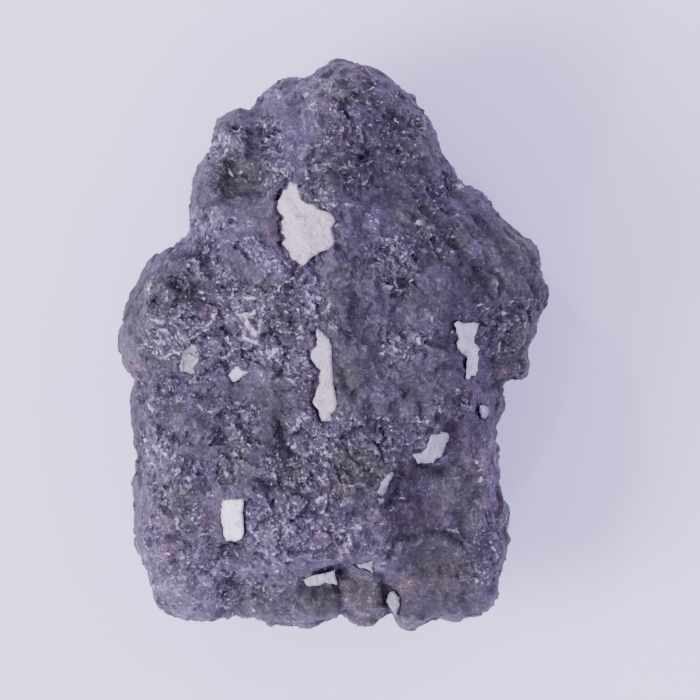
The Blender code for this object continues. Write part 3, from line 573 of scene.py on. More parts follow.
def drawn_relief(p):
    """The ridges, furrows, lobes and pale strokes that are placed one by one on the front."""
    h = np.zeros(len(p))
    front = np.where(p[:, 2] > -50)[0]
    q = p[front]
    fade = smooth_step(-50, -15, q[:, 2])
    wander = q[:, :2] + 2.2 * np.stack([swell(q, 9.0, 151), swell(q, 9.0, 152)], 1)
    for line, width, height in RIDGES:
        h[front] += height * fade * np.exp(-(from_line(wander, line) / width) ** 2 * 1.4)
    for line, width, depth in FURROWS:
        h[front] -= depth * fade * np.exp(-(from_line(wander, line) / width) ** 2 * 1.4)
    for x, y, rx, ry, turn, height in LOBES:
        d = np.sqrt(((q[:, 0] - x) / rx) ** 2 + ((q[:, 1] - y) / ry) ** 2)
        h[front] += height * fade * np.sqrt(np.clip(1 - d * d, 0, 1))
    blade = np.zeros(len(p))
    slight = q[:, :2] + 0.9 * np.stack([swell(q, 5.0, 153), swell(q, 5.0, 154)], 1)
    for x0, y0, x1, y1, width, strength in STROKES:
        near = np.where((np.abs(slight[:, 0] - (x0 + x1) / 2) < 24) & (np.abs(slight[:, 1] - (y0 + y1) / 2) < 24))[0]
        d = from_line(slight[near], ((x0, y0), (x1, y1)))
        g = strength * (1 - smooth_step(width * 0.20, width * 0.75 + 0.9, d)) * fade[near]
        blade[front[near]] = np.maximum(blade[front[near]], g)
    return h, blade


def ball_grid(n):
    """The points of a cube's six gridded faces, joined along its edges, with each face's table of points."""
    line = np.arange(n + 1)
    sheets = []
    for axis, side, flip in ((0, 0, 1), (0, 1, 0), (1, 0, 0), (1, 1, 1), (2, 0, 1), (2, 1, 0)):
        u, v = np.meshgrid(line, line, indexing="ij")
        if flip:
            u, v = v, u
        p = np.zeros((n + 1, n + 1, 3), int)
        p[..., axis] = side * n
        p[..., (axis + 1) % 3] = u
        p[..., (axis + 2) % 3] = v
        sheets.append(p)
    flat = np.concatenate([s.reshape(-1, 3) for s in sheets])
    points, index = np.unique(flat, axis=0, return_inverse=True)
    return points, index.reshape(6, n + 1, n + 1)


def spread(p, a, b, keep):
    """New directions that even out the grid: each point is drawn towards its farther neighbours."""
    near = np.zeros_like(p)
    pull = ((p[a] - p[b]) ** 2).sum(1) ** 0.75 + 0.5
    links = np.zeros(len(p))
    for one, other in ((a, b), (b, a)):
        for axis in range(3):
            near[:, axis] += np.bincount(one, p[other, axis] * pull, len(p))
        links += np.bincount(one, pull, len(p))
    d = keep * p + (1 - keep) * near / links[:, None]
    return d / np.linalg.norm(d, axis=1)[:, None]


def grid_edges(index):
    along = np.concatenate([index[:, :-1, :].reshape(-1), index[:, :, :-1].reshape(-1)])
    to = np.concatenate([index[:, 1:, :].reshape(-1), index[:, :, 1:].reshape(-1)])
    pairs = np.unique(np.sort(np.stack([along, to], 1), axis=1), axis=0)
    return pairs[:, 0], pairs[:, 1]


def stone_points(coarse):
    """Points all over the stone's face on a joined grid, twice as fine as `coarse`."""
    points, index = ball_grid(coarse)
    d = np.tan((points / coarse * 2 - 1) * math.pi / 4)
    d[:, 2] += 0.42
    d /= np.linalg.norm(d, axis=1)[:, None]
    a, b = grid_edges(index)
    r = reach(d)
    for _ in range(30):
        d = spread(d * r[:, None], a, b, 0.35)
        r = reach(d, r + 3.0, 9)
    p = d * r[:, None]
    fine = 2 * coarse
    sheet = np.zeros((6, fine + 1, fine + 1, 3))
    c = p[index]
    sheet[:, ::2, ::2] = c
    sheet[:, 1::2, ::2] = (c[:, 1:] + c[:, :-1]) / 2
    sheet[:, ::2, 1::2] = (c[:, :, 1:] + c[:, :, :-1]) / 2
    sheet[:, 1::2, 1::2] = (c[:, 1:, 1:] + c[:, :-1, 1:] + c[:, 1:, :-1] + c[:, :-1, :-1]) / 4
    points, index = ball_grid(fine)
    q = np.zeros((len(points), 3))
    q[index.reshape(-1)] = sheet.reshape(-1, 3)
    a, b = grid_edges(index)
    rough = np.linalg.norm(q, axis=1)
    d = q / rough[:, None]
    r = reach(d, rough + 0.5, 14)
    for _ in range(3):
        d = spread(d * r[:, None], a, b, 0.4)
        r = reach(d, r + 0.5, 8)
    return CORE + d * r[:, None], index


def normals_of(p, tris):
    n = np.cross(p[tris[:, 1]] - p[tris[:, 0]], p[tris[:, 2]] - p[tris[:, 0]])
    total = np.zeros_like(p)
    for k in range(3):
        for axis in range(3):
            total[:, axis] += np.bincount(tris[:, k], n[:, axis], len(p))
    return total / np.maximum(np.linalg.norm(total, axis=1), 1e-12)[:, None]


def grid_triangles(index, pick):
    """Two triangles for each square of the grid, split along one diagonal or the other."""
    a = index[:, :-1, :-1].reshape(-1)
    b = index[:, 1:, :-1].reshape(-1)
    c = index[:, 1:, 1:].reshape(-1)
    d = index[:, :-1, 1:].reshape(-1)
    turn = pick[: len(a)] > 0.5
    first = np.where(turn[:, None], np.stack([a, b, c], 1), np.stack([b, c, d], 1))
    second = np.where(turn[:, None], np.stack([a, c, d], 1), np.stack([b, d, a], 1))
    return np.stack([first, second], 1).reshape(-1, 3), np.stack([a, b, c, d], 1), turn


def relief(p, even):
    """How far each point stands proud of the plain face, and the masks that the finish follows."""
    warp = p + 7.0 * np.stack([swell(p, 30.0, 31), swell(p, 30.0, 32), swell(p, 30.0, 33)], 1)
    patchy = 0.5 + 0.5 * swell(warp, 30.0, 41) + 0.4 * swell(warp, 13.0, 42)
    glitter = blots(warp, GLITTER)
    dull = blots(warp, DULL)
    behind = 1 - smooth_step(-40, 10, p[:, 2])
    crystal = np.clip(smooth_step(-0.35, 1.20, patchy * (0.50 + 0.35 * behind) + glitter * 0.64 - dull * 0.46), 0, 1)
    # rounded lumps grown side by side
    near, far, _, rnd = cells(warp, 34.0, 50)
    lumps = (0.6 - near) * 5.0 * (0.4 + 0.6 * rnd[:, 0]) + 2.4 * swell(warp, 24.0, 51)
    near2, far2, _, rnd2 = cells(warp, 15.0, 70)
    lumps += (0.6 - near2) * 2.4 * (0.2 + 0.8 * rnd2[:, 0]) + 1.3 * swell(warp, 12.0, 52)
    # clusters of leaning crystal faces, each cluster ridged in its own direction
    fine = p + 2.6 * np.stack([swell(p, 9.0, 34), swell(p, 9.0, 35), swell(p, 9.0, 36)], 1)
    _, _, off, rnd3 = cells(fine, 19.0, 90)
    lean = rnd3[:, :3] - 0.5
    lean /= np.maximum(np.linalg.norm(lean, axis=1), 0.05)[:, None]
    big = (lean * off).sum(1) * 0.34 + (rnd3[:, 3] - 0.5) * 2.2
    steps = (lean * off).sum(1) / 5.6 + rnd3[:, 3] * 3
    ridge = (np.abs(steps - np.floor(steps) - 0.5) - 0.25) * 3.2
    _, _, off4, rnd4 = cells(fine, 8.5, 110)
    small = ((rnd4[:, :3] - 0.5) * off4).sum(1) * 0.6 + (rnd4[:, 3] - 0.5) * 1.2
    grit = 0.9 * swell(p, 7.0, 43) + 0.5 * swell(p, 4.2, 44)
    pits = -2.6 * smooth_step(0.50, 0.9, swell(warp, 12.0, 45) + 0.25 * swell(p, 6.0, 46))
    drawn, blade = drawn_relief(p)
    smoothness = 1 - 0.75 * dull
    fine_part = crystal * (0.85 * big + ridge * 0.8 + 0.85 * small) + (1 - crystal) * (grit * smoothness + 0.45 * (big + small)) + pits * (0.2 + 0.6 * crystal)
    return lumps * (1 - 0.35 * dull) * (0.3 + 0.7 * even) + fine_part * even + drawn + 0.7 * blade, crystal, dull, blade, drawn


def shoulder_grooves(p):
    """Long shallow grooves that run down the right shoulder."""
    u = (p[:, 0] - 92) * 0.62 + (p[:, 1] - 130) * -0.785
    v = (p[:, 0] - 92) * 0.785 + (p[:, 1] - 130) * 0.62
    v = v + 5 * swell(p, 34.0, 61)
    mask = smooth_step(-40, -5, u) * (1 - smooth_step(130, 175, u)) * smooth_step(-22, -6, v) * (1 - smooth_step(58, 80, v))
    return -2.6 * mask * smooth_step(0.15, 0.95, np.sin(v * 2 * math.pi / 17.0)) * smooth_step(0, 30, p[:, 2])


def open_pores(p, height_like):
    """Sinks the stone under each grain, and opens the crevices that run beside some of them."""
    z = p[:, 2].copy()
    for name, g in GRAINS.items():
        for outline, is_chip in ((g["outline"], False), (g.get("chip"), True)):
            if outline is None:
                continue
            box = np.array(outline, float)
            lo, hi = box.min(0) - 19, box.max(0) + 19
            pick = np.where((p[:, 0] > lo[0]) & (p[:, 0] < hi[0]) & (p[:, 1] > lo[1]) & (p[:, 1] < hi[1]) & (p[:, 2] > 0))[0]
            d, out = outline_distance(p[pick, :2], outline)
            if "top" in g:
                x, y = p[pick, 0], p[pick, 1]
                mid = box.mean(0)
                top = g["top"] + (x - mid[0]) * g["lean"][0] + (y - mid[1]) * g["lean"][1]
                floor = top - 9.0
                sunk = smooth_step(1.2, -1.2, d)
                ramp = np.where(d < 18.0, top + 0.4 + 0.75 * np.maximum(d, 0) + 0.07 * np.maximum(d, 0) ** 2, 1e9)
                z[pick] = np.minimum(z[pick], np.where(p[pick, 2] > floor, ramp, 1e9))
                z[pick] = np.where(p[pick, 2] > floor, z[pick] * (1 - sunk) + np.minimum(z[pick], floor) * sunk, z[pick])
            else:
                z[pick] -= (5.0 if is_chip or g["kind"] == "clear" else 9.0) * smooth_step(-0.6, -3.0, d)
            cx, cy, width = g["crevice"]
            if width:
                side = np.clip(out @ np.array([cx, cy]) / math.hypot(cx, cy), 0, 1) ** 0.7
                band = smooth_step(-1.0, 0.6, d) * (1 - smooth_step(width * 0.5, width * 1.3, d))
                z[pick] -= 7.0 * side * band * (0.6 + 0.4 * swell(p[pick], 9.0, g["seed"]))
    return z


def new_mesh(name, points, tris, smooth=None):
    mesh = bpy.data.meshes.new(name)
    mesh.vertices.add(len(points))
    mesh.vertices.foreach_set("co", points.astype(np.float32).ravel())
    mesh.loops.add(len(tris) * 3)
    mesh.loops.foreach_set("vertex_index", tris.astype(np.int32).ravel())
    mesh.polygons.add(len(tris))
    mesh.polygons.foreach_set("loop_start", np.arange(0, len(tris) * 3, 3, dtype=np.int32))
    mesh.update(calc_edges=True)
    if smooth is not None:
        mesh.polygons.foreach_set("use_smooth", smooth.astype(bool))
    mesh.validate()
    mesh.update()
    return mesh


def put(mesh, replaced, material):
    piece = bpy.data.objects.new(mesh.name, mesh)
    bpy.context.scene.collection.objects.link(piece)
    mesh.materials.append(material)
    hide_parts(replaced)
    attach(piece, "root")
    return piece


def carry(mesh, name, values):
    layer = mesh.attributes.new(name, "FLOAT", "POINT")
    layer.data.foreach_set("value", np.asarray(values, np.float32))


def build_stone(material):
    coarse = 62
    base, index = stone_points(coarse)
    print("stone points", len(base), round(time.time() - T0, 1), "s")
    cells_count = 6 * (2 * coarse) ** 2
    pick = lattice(np.arange(cells_count), np.zeros(cells_count, np.int64), np.zeros(cells_count, np.int64), 7)
    tris, quads, turn = grid_triangles(index, pick)
    outward = (np.cross(base[tris[:, 1]] - base[tris[:, 0]], base[tris[:, 2]] - base[tris[:, 0]]) * (base[tris[:, 0]] - CORE)).sum(1)
    wrong = np.repeat(np.array([sheet.sum() < 0 for sheet in np.split(outward, 6)]), len(tris) // 6)
    tris[wrong] = tris[wrong][:, ::-1]
    n = normals_of(base, tris)
    # loosen the grid so that its lines don't show
    side = np.cross(n, np.roll(n, 1, axis=1) + 0.01)
    side /= np.linalg.norm(side, axis=1)[:, None]
    other = np.cross(n, side)
    jig = np.stack([swell(base, 2.3, 81), swell(base, 2.3, 82)], 1)
    base = base + (side * jig[:, :1] + other * jig[:, 1:]) * 0.75
    edge_a, edge_b = grid_edges(index)
    span = np.linalg.norm(base[edge_a] - base[edge_b], axis=1)
    links = np.bincount(edge_a, minlength=len(base)) + np.bincount(edge_b, minlength=len(base))
    span = (np.bincount(edge_a, span, len(base)) + np.bincount(edge_b, span, len(base))) / links
    even = 1 - smooth_step(4.2, 8.5, span)
    h, crystal, dull, blade, drawn = relief(base, even)
    h = h + shoulder_grooves(base) - 2.2 * (1 - np.abs(n[:, 2])) - 0.3
    # how far each point sits above or below its neighbours: the mask for the painted shade in the hollows
    around = h.copy()
    for _ in range(10):
        around = (np.bincount(edge_a, around[edge_b], len(h)) + np.bincount(edge_b, around[edge_a], len(h))) / links
    hollow = np.clip(0.5 + (h - around) * 0.13 + np.clip(around, -7, 7) * 0.035, 0, 1)
    p = base + n * h[:, None]
    p[:, 2] = open_pores(p, h)
    # the break it lies on: level, with only shallow dips in it
    low = REST_PLANE + 0.9 * smooth_step(0.0, 1.0, swell(p, 14.0, 47) + 0.5 * swell(p, 6.0, 48)) * smooth_step(0.0, 0.6, swell(p, 40.0, 49) + 0.6)
    p[:, 2] = np.maximum(p[:, 2], low)
    face_crystal = crystal[tris].mean(1)
    wiggle = lattice(tris[:, 0], tris[:, 1], tris[:, 2], 3)
    smooth = face_crystal + 0.25 * (wiggle - 0.5) < 0.30
    mesh = new_mesh("stone_surface", to_metres(p), tris, smooth)
    carry(mesh, "crystal", crystal)
    carry(mesh, "rust", blots(base, RUST))
    carry(mesh, "green", blots(base, GREEN))
    carry(mesh, "dull", dull)
    carry(mesh, "proud", hollow)
    # pale crystal blades, also the mask for the painted glints in the finish
    carry(mesh, "blade", blade)
    carry(mesh, "fibre", blots(base, FIBRE))
    # lighter and darker patches of the stone's own tone, with painted shade on the brightly lit left flank and in deep
    # recesses
    pale, dark, deep_shade, soft = (blots(base, spots) for spots in (PALE, DARK_AND_SHADE, DEEP_SHADE, SOFT))
    carry(mesh, "light", np.clip(0.5 + 0.5 * pale * (1 - 0.8 * deep_shade) - 0.28 * dark * (1 - 0.6 * pale) - 0.22 * deep_shade + 0.10 * soft * (1 - deep_shade), 0, 1))
    # a plain unwrap: each side of the grid is one square chart
    m = 2 * coarse
    uv_grid = np.zeros((6, m + 1, m + 1, 2))
    gap = 0.004
    for s in range(6):
        cx, cy = s % 3, s // 3
        u, v = np.meshgrid(np.linspace(gap, 1 / 3 - gap, m + 1), np.linspace(gap, 1 / 2 - gap, m + 1), indexing="ij")
        uv_grid[s, ..., 0] = u + cx / 3
        uv_grid[s, ..., 1] = v + cy / 2
    ua = uv_grid[:, :-1, :-1].reshape(-1, 2)
    ub = uv_grid[:, 1:, :-1].reshape(-1, 2)
    uc = uv_grid[:, 1:, 1:].reshape(-1, 2)
    ud = uv_grid[:, :-1, 1:].reshape(-1, 2)
    corner = {}
    quad_uv = np.stack([ua, ub, uc, ud], 1)
    owner = np.repeat(np.arange(len(quads)), 2)
    loops_v = np.zeros(len(mesh.loops), np.int32)
    mesh.loops.foreach_get("vertex_index", loops_v)
    loops_v = loops_v.reshape(-1, 3)
    uv = np.zeros((len(loops_v), 3, 2))
    if len(loops_v) == len(tris):
        for k in range(4):
            hit = loops_v == quads[owner, k][:, None]
            uv[hit] = np.repeat(quad_uv[owner, k][:, None, :], 3, axis=1)[hit]
        layer = mesh.uv_layers.new(name="OFBake")
        layer.data.foreach_set("uv", uv.astype(np.float32).ravel())
    piece = put(mesh, "diamond_body", material)
    print("stone", len(mesh.polygons), "triangles", round(time.time() - T0, 1), "s")
    return piece


def ragged(outline, seed, step, bite):
    """The outline drawn with short steps, with small bites and points along it."""
    a = np.array(outline, float)
    if np.sum(a[:, 0] * np.roll(a[:, 1], -1) - np.roll(a[:, 0], -1) * a[:, 1]) < 0:
        a = a[::-1]
    b = np.roll(a, -1, 0)
    out = []
    for (ax, ay), (bx, by) in zip(a, b):
        length = math.hypot(bx - ax, by - ay)
        count = max(1, int(round(length / step)))
        for k in range(count):
            t = k / count
            out.append((ax + (bx - ax) * t, ay + (by - ay) * t, (by - ay) / length, -(bx - ax) / length))
    out = np.array(out)
    p3 = np.stack([out[:, 0], out[:, 1], np.full(len(out), seed * 17.0)], 1)
    push = bite * (0.7 * swell(p3, 5.0, seed) + 0.6 * swell(p3, 2.6, seed + 1))
    return out[:, :2] + out[:, 2:] * push[:, None]


# How bright each grain is, with painted shade lowering the lower right one and the three at the foot, which lie in
# shade, and how pink.
GRAIN_TONE_AND_SHADE = {"pale_grain_upper": (0.61, 1.0), "pale_grain_centre": (0.57, 0.65), "pale_grain_right": (0.79, 0.15),
         "pale_grain_lower_left": (0.98, 0.3), "pale_grain_lower_right": (0.52, 0.1), "pale_grain_small": (0.60, 0.1),
         "pale_wedge_foot": (0.44, 0.1), "pale_tooth_foot": (0.33, 0.1), "pale_wedge_tip": (0.37, 0.1),
         "clear_grain_lens": (1.0, 0.0), "clear_grain_left": (0.70, 0.0), "clear_grain_right": (1.0, 0.0)}


def grain_solid(outline, g, seed, step, thick, top_of):
    """A closed grain: a finely divided top with its cracks, ragged walls, and a flat underside."""
    rim = ragged(outline, seed, step, 1.0)
    lo, hi = rim.min(0), rim.max(0)
    rng = np.random.default_rng(seed)
    xs, ys = np.arange(lo[0], hi[0], step), np.arange(lo[1], hi[1], step * 0.87)
    grid = np.array([(x + (step / 2 if j % 2 else 0), y) for j, y in enumerate(ys) for x in xs])
    grid = grid + rng.uniform(-0.28, 0.28, grid.shape) * step
    d, _ = outline_distance(grid, rim)
    grid = grid[d < -0.62 * step]
    pts = np.concatenate([rim, grid])
    count = len(rim)
    verts, _, faces, _, _, _ = delaunay_2d_cdt([Vector(v) for v in pts], [(k, (k + 1) % count) for k in range(count)], [], 1, 1e-5)
    xy = np.array([tuple(v) for v in verts])
    tris = np.array([f for f in faces if len(f) == 3], int)
    area = (xy[tris[:, 1], 0] - xy[tris[:, 0], 0]) * (xy[tris[:, 2], 1] - xy[tris[:, 0], 1]) - (xy[tris[:, 1], 1] - xy[tris[:, 0], 1]) * (xy[tris[:, 2], 0] - xy[tris[:, 0], 0])
    tris[area < 0] = tris[area < 0][:, ::-1]
    z, floor = top_of(xy)
    depth, _ = outline_distance(xy, rim)
    # edge count to find the rim loop after the triangulation
    edges = np.concatenate([tris[:, [0, 1]], tris[:, [1, 2]], tris[:, [2, 0]]])
    key = np.sort(edges, 1)
    uniq, inverse, times = np.unique(key, axis=0, return_inverse=True, return_counts=True)
    border = edges[times[inverse.reshape(-1)] == 1]
    top = np.stack([xy[:, 0], xy[:, 1], z], 1)
    p3 = top.copy()
    kind = g["kind"]
    c, s = g["crack"]
    along = xy[:, 0] * c + xy[:, 1] * s
    across = -xy[:, 0] * s + xy[:, 1] * c
    q = np.stack([along * 0.35, across, np.full(len(xy), seed * 9.0)], 1)
    lines = 1 - np.abs(swell(q, 5.2, seed + 3)) * 2
    lines2 = 1 - np.abs(swell(np.stack([along * 0.5, across + 40, q[:, 2]], 1), 3.1, seed + 4)) * 2
    broken = smooth_step(-0.1, 0.5, swell(np.stack([along, across, np.full(len(xy), seed * 3.0)], 1), 11.0, seed + 8))
    crack = (smooth_step(0.80, 0.99, lines) * 0.9 + smooth_step(0.88, 1.0, lines2) * 0.35) * broken
    blocks = cells(np.stack([xy[:, 0], xy[:, 1], np.full(len(xy), seed * 5.0)], 1), 6.5, seed + 30)
    step_up = (blocks[3][:, 3] - 0.5) * 1.0 + ((blocks[3][:, :2] - 0.5) * blocks[2][:, :2]).sum(1) * 0.25
    grain_relief = 1.1 * swell(p3, 10.0, seed + 5) + 0.5 * swell(p3, 4.2, seed + 6) + 0.9 * step_up
    if kind == "clear":
        facet = cells(np.stack([xy[:, 0], xy[:, 1], np.full(len(xy), seed * 7.0)], 1), 7.5, seed + 60)
        grain_relief = 0.5 * swell(p3, 7.0, seed + 5) + ((facet[3][:, :2] - 0.5) * facet[2][:, :2]).sum(1) * 0.75 + (facet[3][:, 3] - 0.5) * 1.6
        crack *= 0.3
    rounding = -(2.0 if kind == "pale" else 1.0) * np.clip(1 + depth / 3.0, 0, 1) ** 2
    top[:, 2] += grain_relief - crack * 1.0 + rounding
    under = top.copy()
    under[:, 2] = floor
    n = len(top)
    walls = []
    for a, b in border:
        walls += [(a, a + n, b + n), (a, b + n, b)]
    all_tris = np.concatenate([tris, tris[:, ::-1] + n, np.array(walls, int)])
    pts = np.concatenate([top, under])
    edge = smooth_step(-3.6, -0.2, depth)
    return pts, all_tris, np.concatenate([crack, crack * 0]), np.concatenate([edge, edge * 0 + 1]), len(tris)


def build_grain(name, g, material):
    step = 1.55 if name in ("pale_grain_upper", "pale_grain_centre") else 1.3
    parts = []
    for k, outline in enumerate([g["outline"], g.get("chip")]):
        if outline is None:
            continue

        def top_of(xy, outline=outline):
            if "top" in g:
                mid = np.array(outline, float).mean(0)
                z = g["top"] + (xy[:, 0] - mid[0]) * g["lean"][0] + (xy[:, 1] - mid[1]) * g["lean"][1]
                return z, z - 14.0
            tone_and_shade_lift = 0.9 if g["kind"] == "pale" else 0.3
            z = face_height(xy[:, 0], xy[:, 1])
            return z + tone_and_shade_lift, z - (10.0 if g["kind"] == "pale" else 7.0)

        parts.append(grain_solid(outline, g, g["seed"] + 40 * k, step, 12, top_of))
    pts, tris, crack, edge = [], [], [], []
    smooth = []
    for p, t, c, e, tops in parts:
        edge.append(e)
        tris.append(t + sum(len(x) for x in pts))
        pts.append(p)
        crack.append(c)
        flags = np.zeros(len(t), bool)
        smooth.append(flags)
    pts, tris, crack, edge, smooth = map(np.concatenate, (pts, tris, crack, edge, smooth))
    mesh = new_mesh(name + "_crystal", to_metres(pts), tris, smooth)
    carry(mesh, "crack", crack)
    carry(mesh, "edge", edge)
    # the grain's tone, which carries painted shade for the grains that lie in shade
    tone_with_shade, pink = GRAIN_TONE_AND_SHADE.get(name, (0.5, 0.0))
    carry(mesh, "tone", np.full(len(pts), tone_with_shade))
    carry(mesh, "pink", np.full(len(pts), pink))
    return put(mesh, name, material)


# ---------------------------------------------------------------- materials
class Net:
    """A small helper to write a material's nodes."""

    def __init__(self, name):
        self.material = bpy.data.materials.new(name)
        self.material.use_nodes = True
        self.tree = self.material.node_tree
        self.shader = self.tree.nodes["Principled BSDF"]

    def node(self, kind, **settings):
        n = self.tree.nodes.new(kind)
        inputs = settings.pop("inputs", {})
        for key, value in settings.items():
            setattr(n, key, value)
        for key, value in inputs.items():
            socket = n.inputs[key]
            if isinstance(value, bpy.types.NodeSocket):
                self.tree.links.new(value, socket)
            else:
                socket.default_value = value
        return n

    def link(self, a, b):
        self.tree.links.new(a, b)

    def math(self, op, a, b=0.0, c=0.0, clamp=False):
        n = self.node("ShaderNodeMath", operation=op, use_clamp=clamp)
        for k, v in enumerate((a, b, c)):
            if isinstance(v, bpy.types.NodeSocket):
                self.link(v, n.inputs[k])
            else:
                n.inputs[k].default_value = v
        return n.outputs[0]

    def vmath(self, op, a, b=None, scale=None):
        n = self.node("ShaderNodeVectorMath", operation=op)
        for k, v in enumerate((a, b)):
            if v is None:
                continue
            if isinstance(v, bpy.types.NodeSocket):
                self.link(v, n.inputs[k])
            else:
                n.inputs[k].default_value = v
        if scale is not None:
            n.inputs["Scale"].default_value = scale
        return n.outputs["Value"] if op in ("DOT_PRODUCT", "LENGTH", "DISTANCE") else n.outputs["Vector"]

    def ramp(self, value, stops, mode="LINEAR"):
        n = self.node("ShaderNodeValToRGB", inputs={"Fac": value})
        n.color_ramp.interpolation = mode
        while len(n.color_ramp.elements) < len(stops):
            n.color_ramp.elements.new(0.5)
        for element, (at, colour) in zip(n.color_ramp.elements, stops):
            element.position = at
            element.color = (*colour, 1) if len(colour) == 3 else colour
        return n.outputs["Color"]

    def mix(self, fac, a, b, blend="MIX"):
        n = self.node("ShaderNodeMix", data_type="RGBA", blend_type=blend, clamp_factor=True)
        for socket, v in ((n.inputs[0], fac), (n.inputs[6], a), (n.inputs[7], b)):
            if isinstance(v, bpy.types.NodeSocket):
                self.link(v, socket)
            else:
                socket.default_value = v if not isinstance(v, tuple) or len(v) == 4 else (*v, 1)
        return n.outputs[2]

    def blend(self, fac, a, b):
        n = self.node("ShaderNodeMix", data_type="FLOAT", clamp_factor=True)
        for socket, v in ((n.inputs[0], fac), (n.inputs[2], a), (n.inputs[3], b)):
            if isinstance(v, bpy.types.NodeSocket):
                self.link(v, socket)
            else:
                socket.default_value = v
        return n.outputs[0]

    def noise(self, vector, scale, detail=3.0, rough=0.55, distort=0.0):
        return self.node("ShaderNodeTexNoise", inputs={"Vector": vector, "Scale": scale, "Detail": detail, "Roughness": rough, "Distortion": distort}).outputs["Fac"]

    def attribute(self, name):
        return self.node("ShaderNodeAttribute", attribute_name=name, attribute_type="GEOMETRY").outputs["Fac"]

    def millimetres(self):
        coords = self.node("ShaderNodeTexCoord").outputs["Object"]
        return self.vmath("SCALE", coords, scale=1000.0)


def blades(net, mm, scale, shift, across, along):
    """Crystals that fill space, each one built of long thin blades that lie the same way.

    Gives how near a point is to the middle of its blade, two random numbers for the blade,
    one for the crystal, and the height of the crystal's leaning face."""
    moved = net.vmath("ADD", mm, (shift, shift * 0.7, -shift * 1.3))
    v = net.node("ShaderNodeTexVoronoi", feature="F1", inputs={"Vector": moved, "Scale": scale, "Randomness": 1.0})
    lean = net.vmath("NORMALIZE", net.vmath("SUBTRACT", v.outputs["Color"], (0.5, 0.5, 0.5)))
    side = net.vmath("NORMALIZE", net.vmath("CROSS_PRODUCT", lean, (0.31, 0.52, 0.79)))
    third = net.vmath("CROSS_PRODUCT", lean, side)
    q = net.node("ShaderNodeCombineXYZ", inputs={
        "X": net.math("MULTIPLY", net.vmath("DOT_PRODUCT", moved, lean), across),
        "Y": net.math("MULTIPLY", net.vmath("DOT_PRODUCT", moved, side), along),
        "Z": net.math("MULTIPLY", net.vmath("DOT_PRODUCT", moved, third), across * 0.8)}).outputs[0]
    inner = net.node("ShaderNodeTexVoronoi", feature="F1", inputs={"Vector": q, "Scale": 1.0, "Randomness": 0.9})
    split = net.node("ShaderNodeSeparateColor", inputs={"Color": inner.outputs["Color"]})
    away = net.vmath("SUBTRACT", moved, v.outputs["Position"])
    whole = net.node("ShaderNodeSeparateColor", inputs={"Color": v.outputs["Color"]})
    return inner.outputs["Distance"], split.outputs[0], split.outputs[1], whole.outputs[2], net.vmath("DOT_PRODUCT", lean, away)


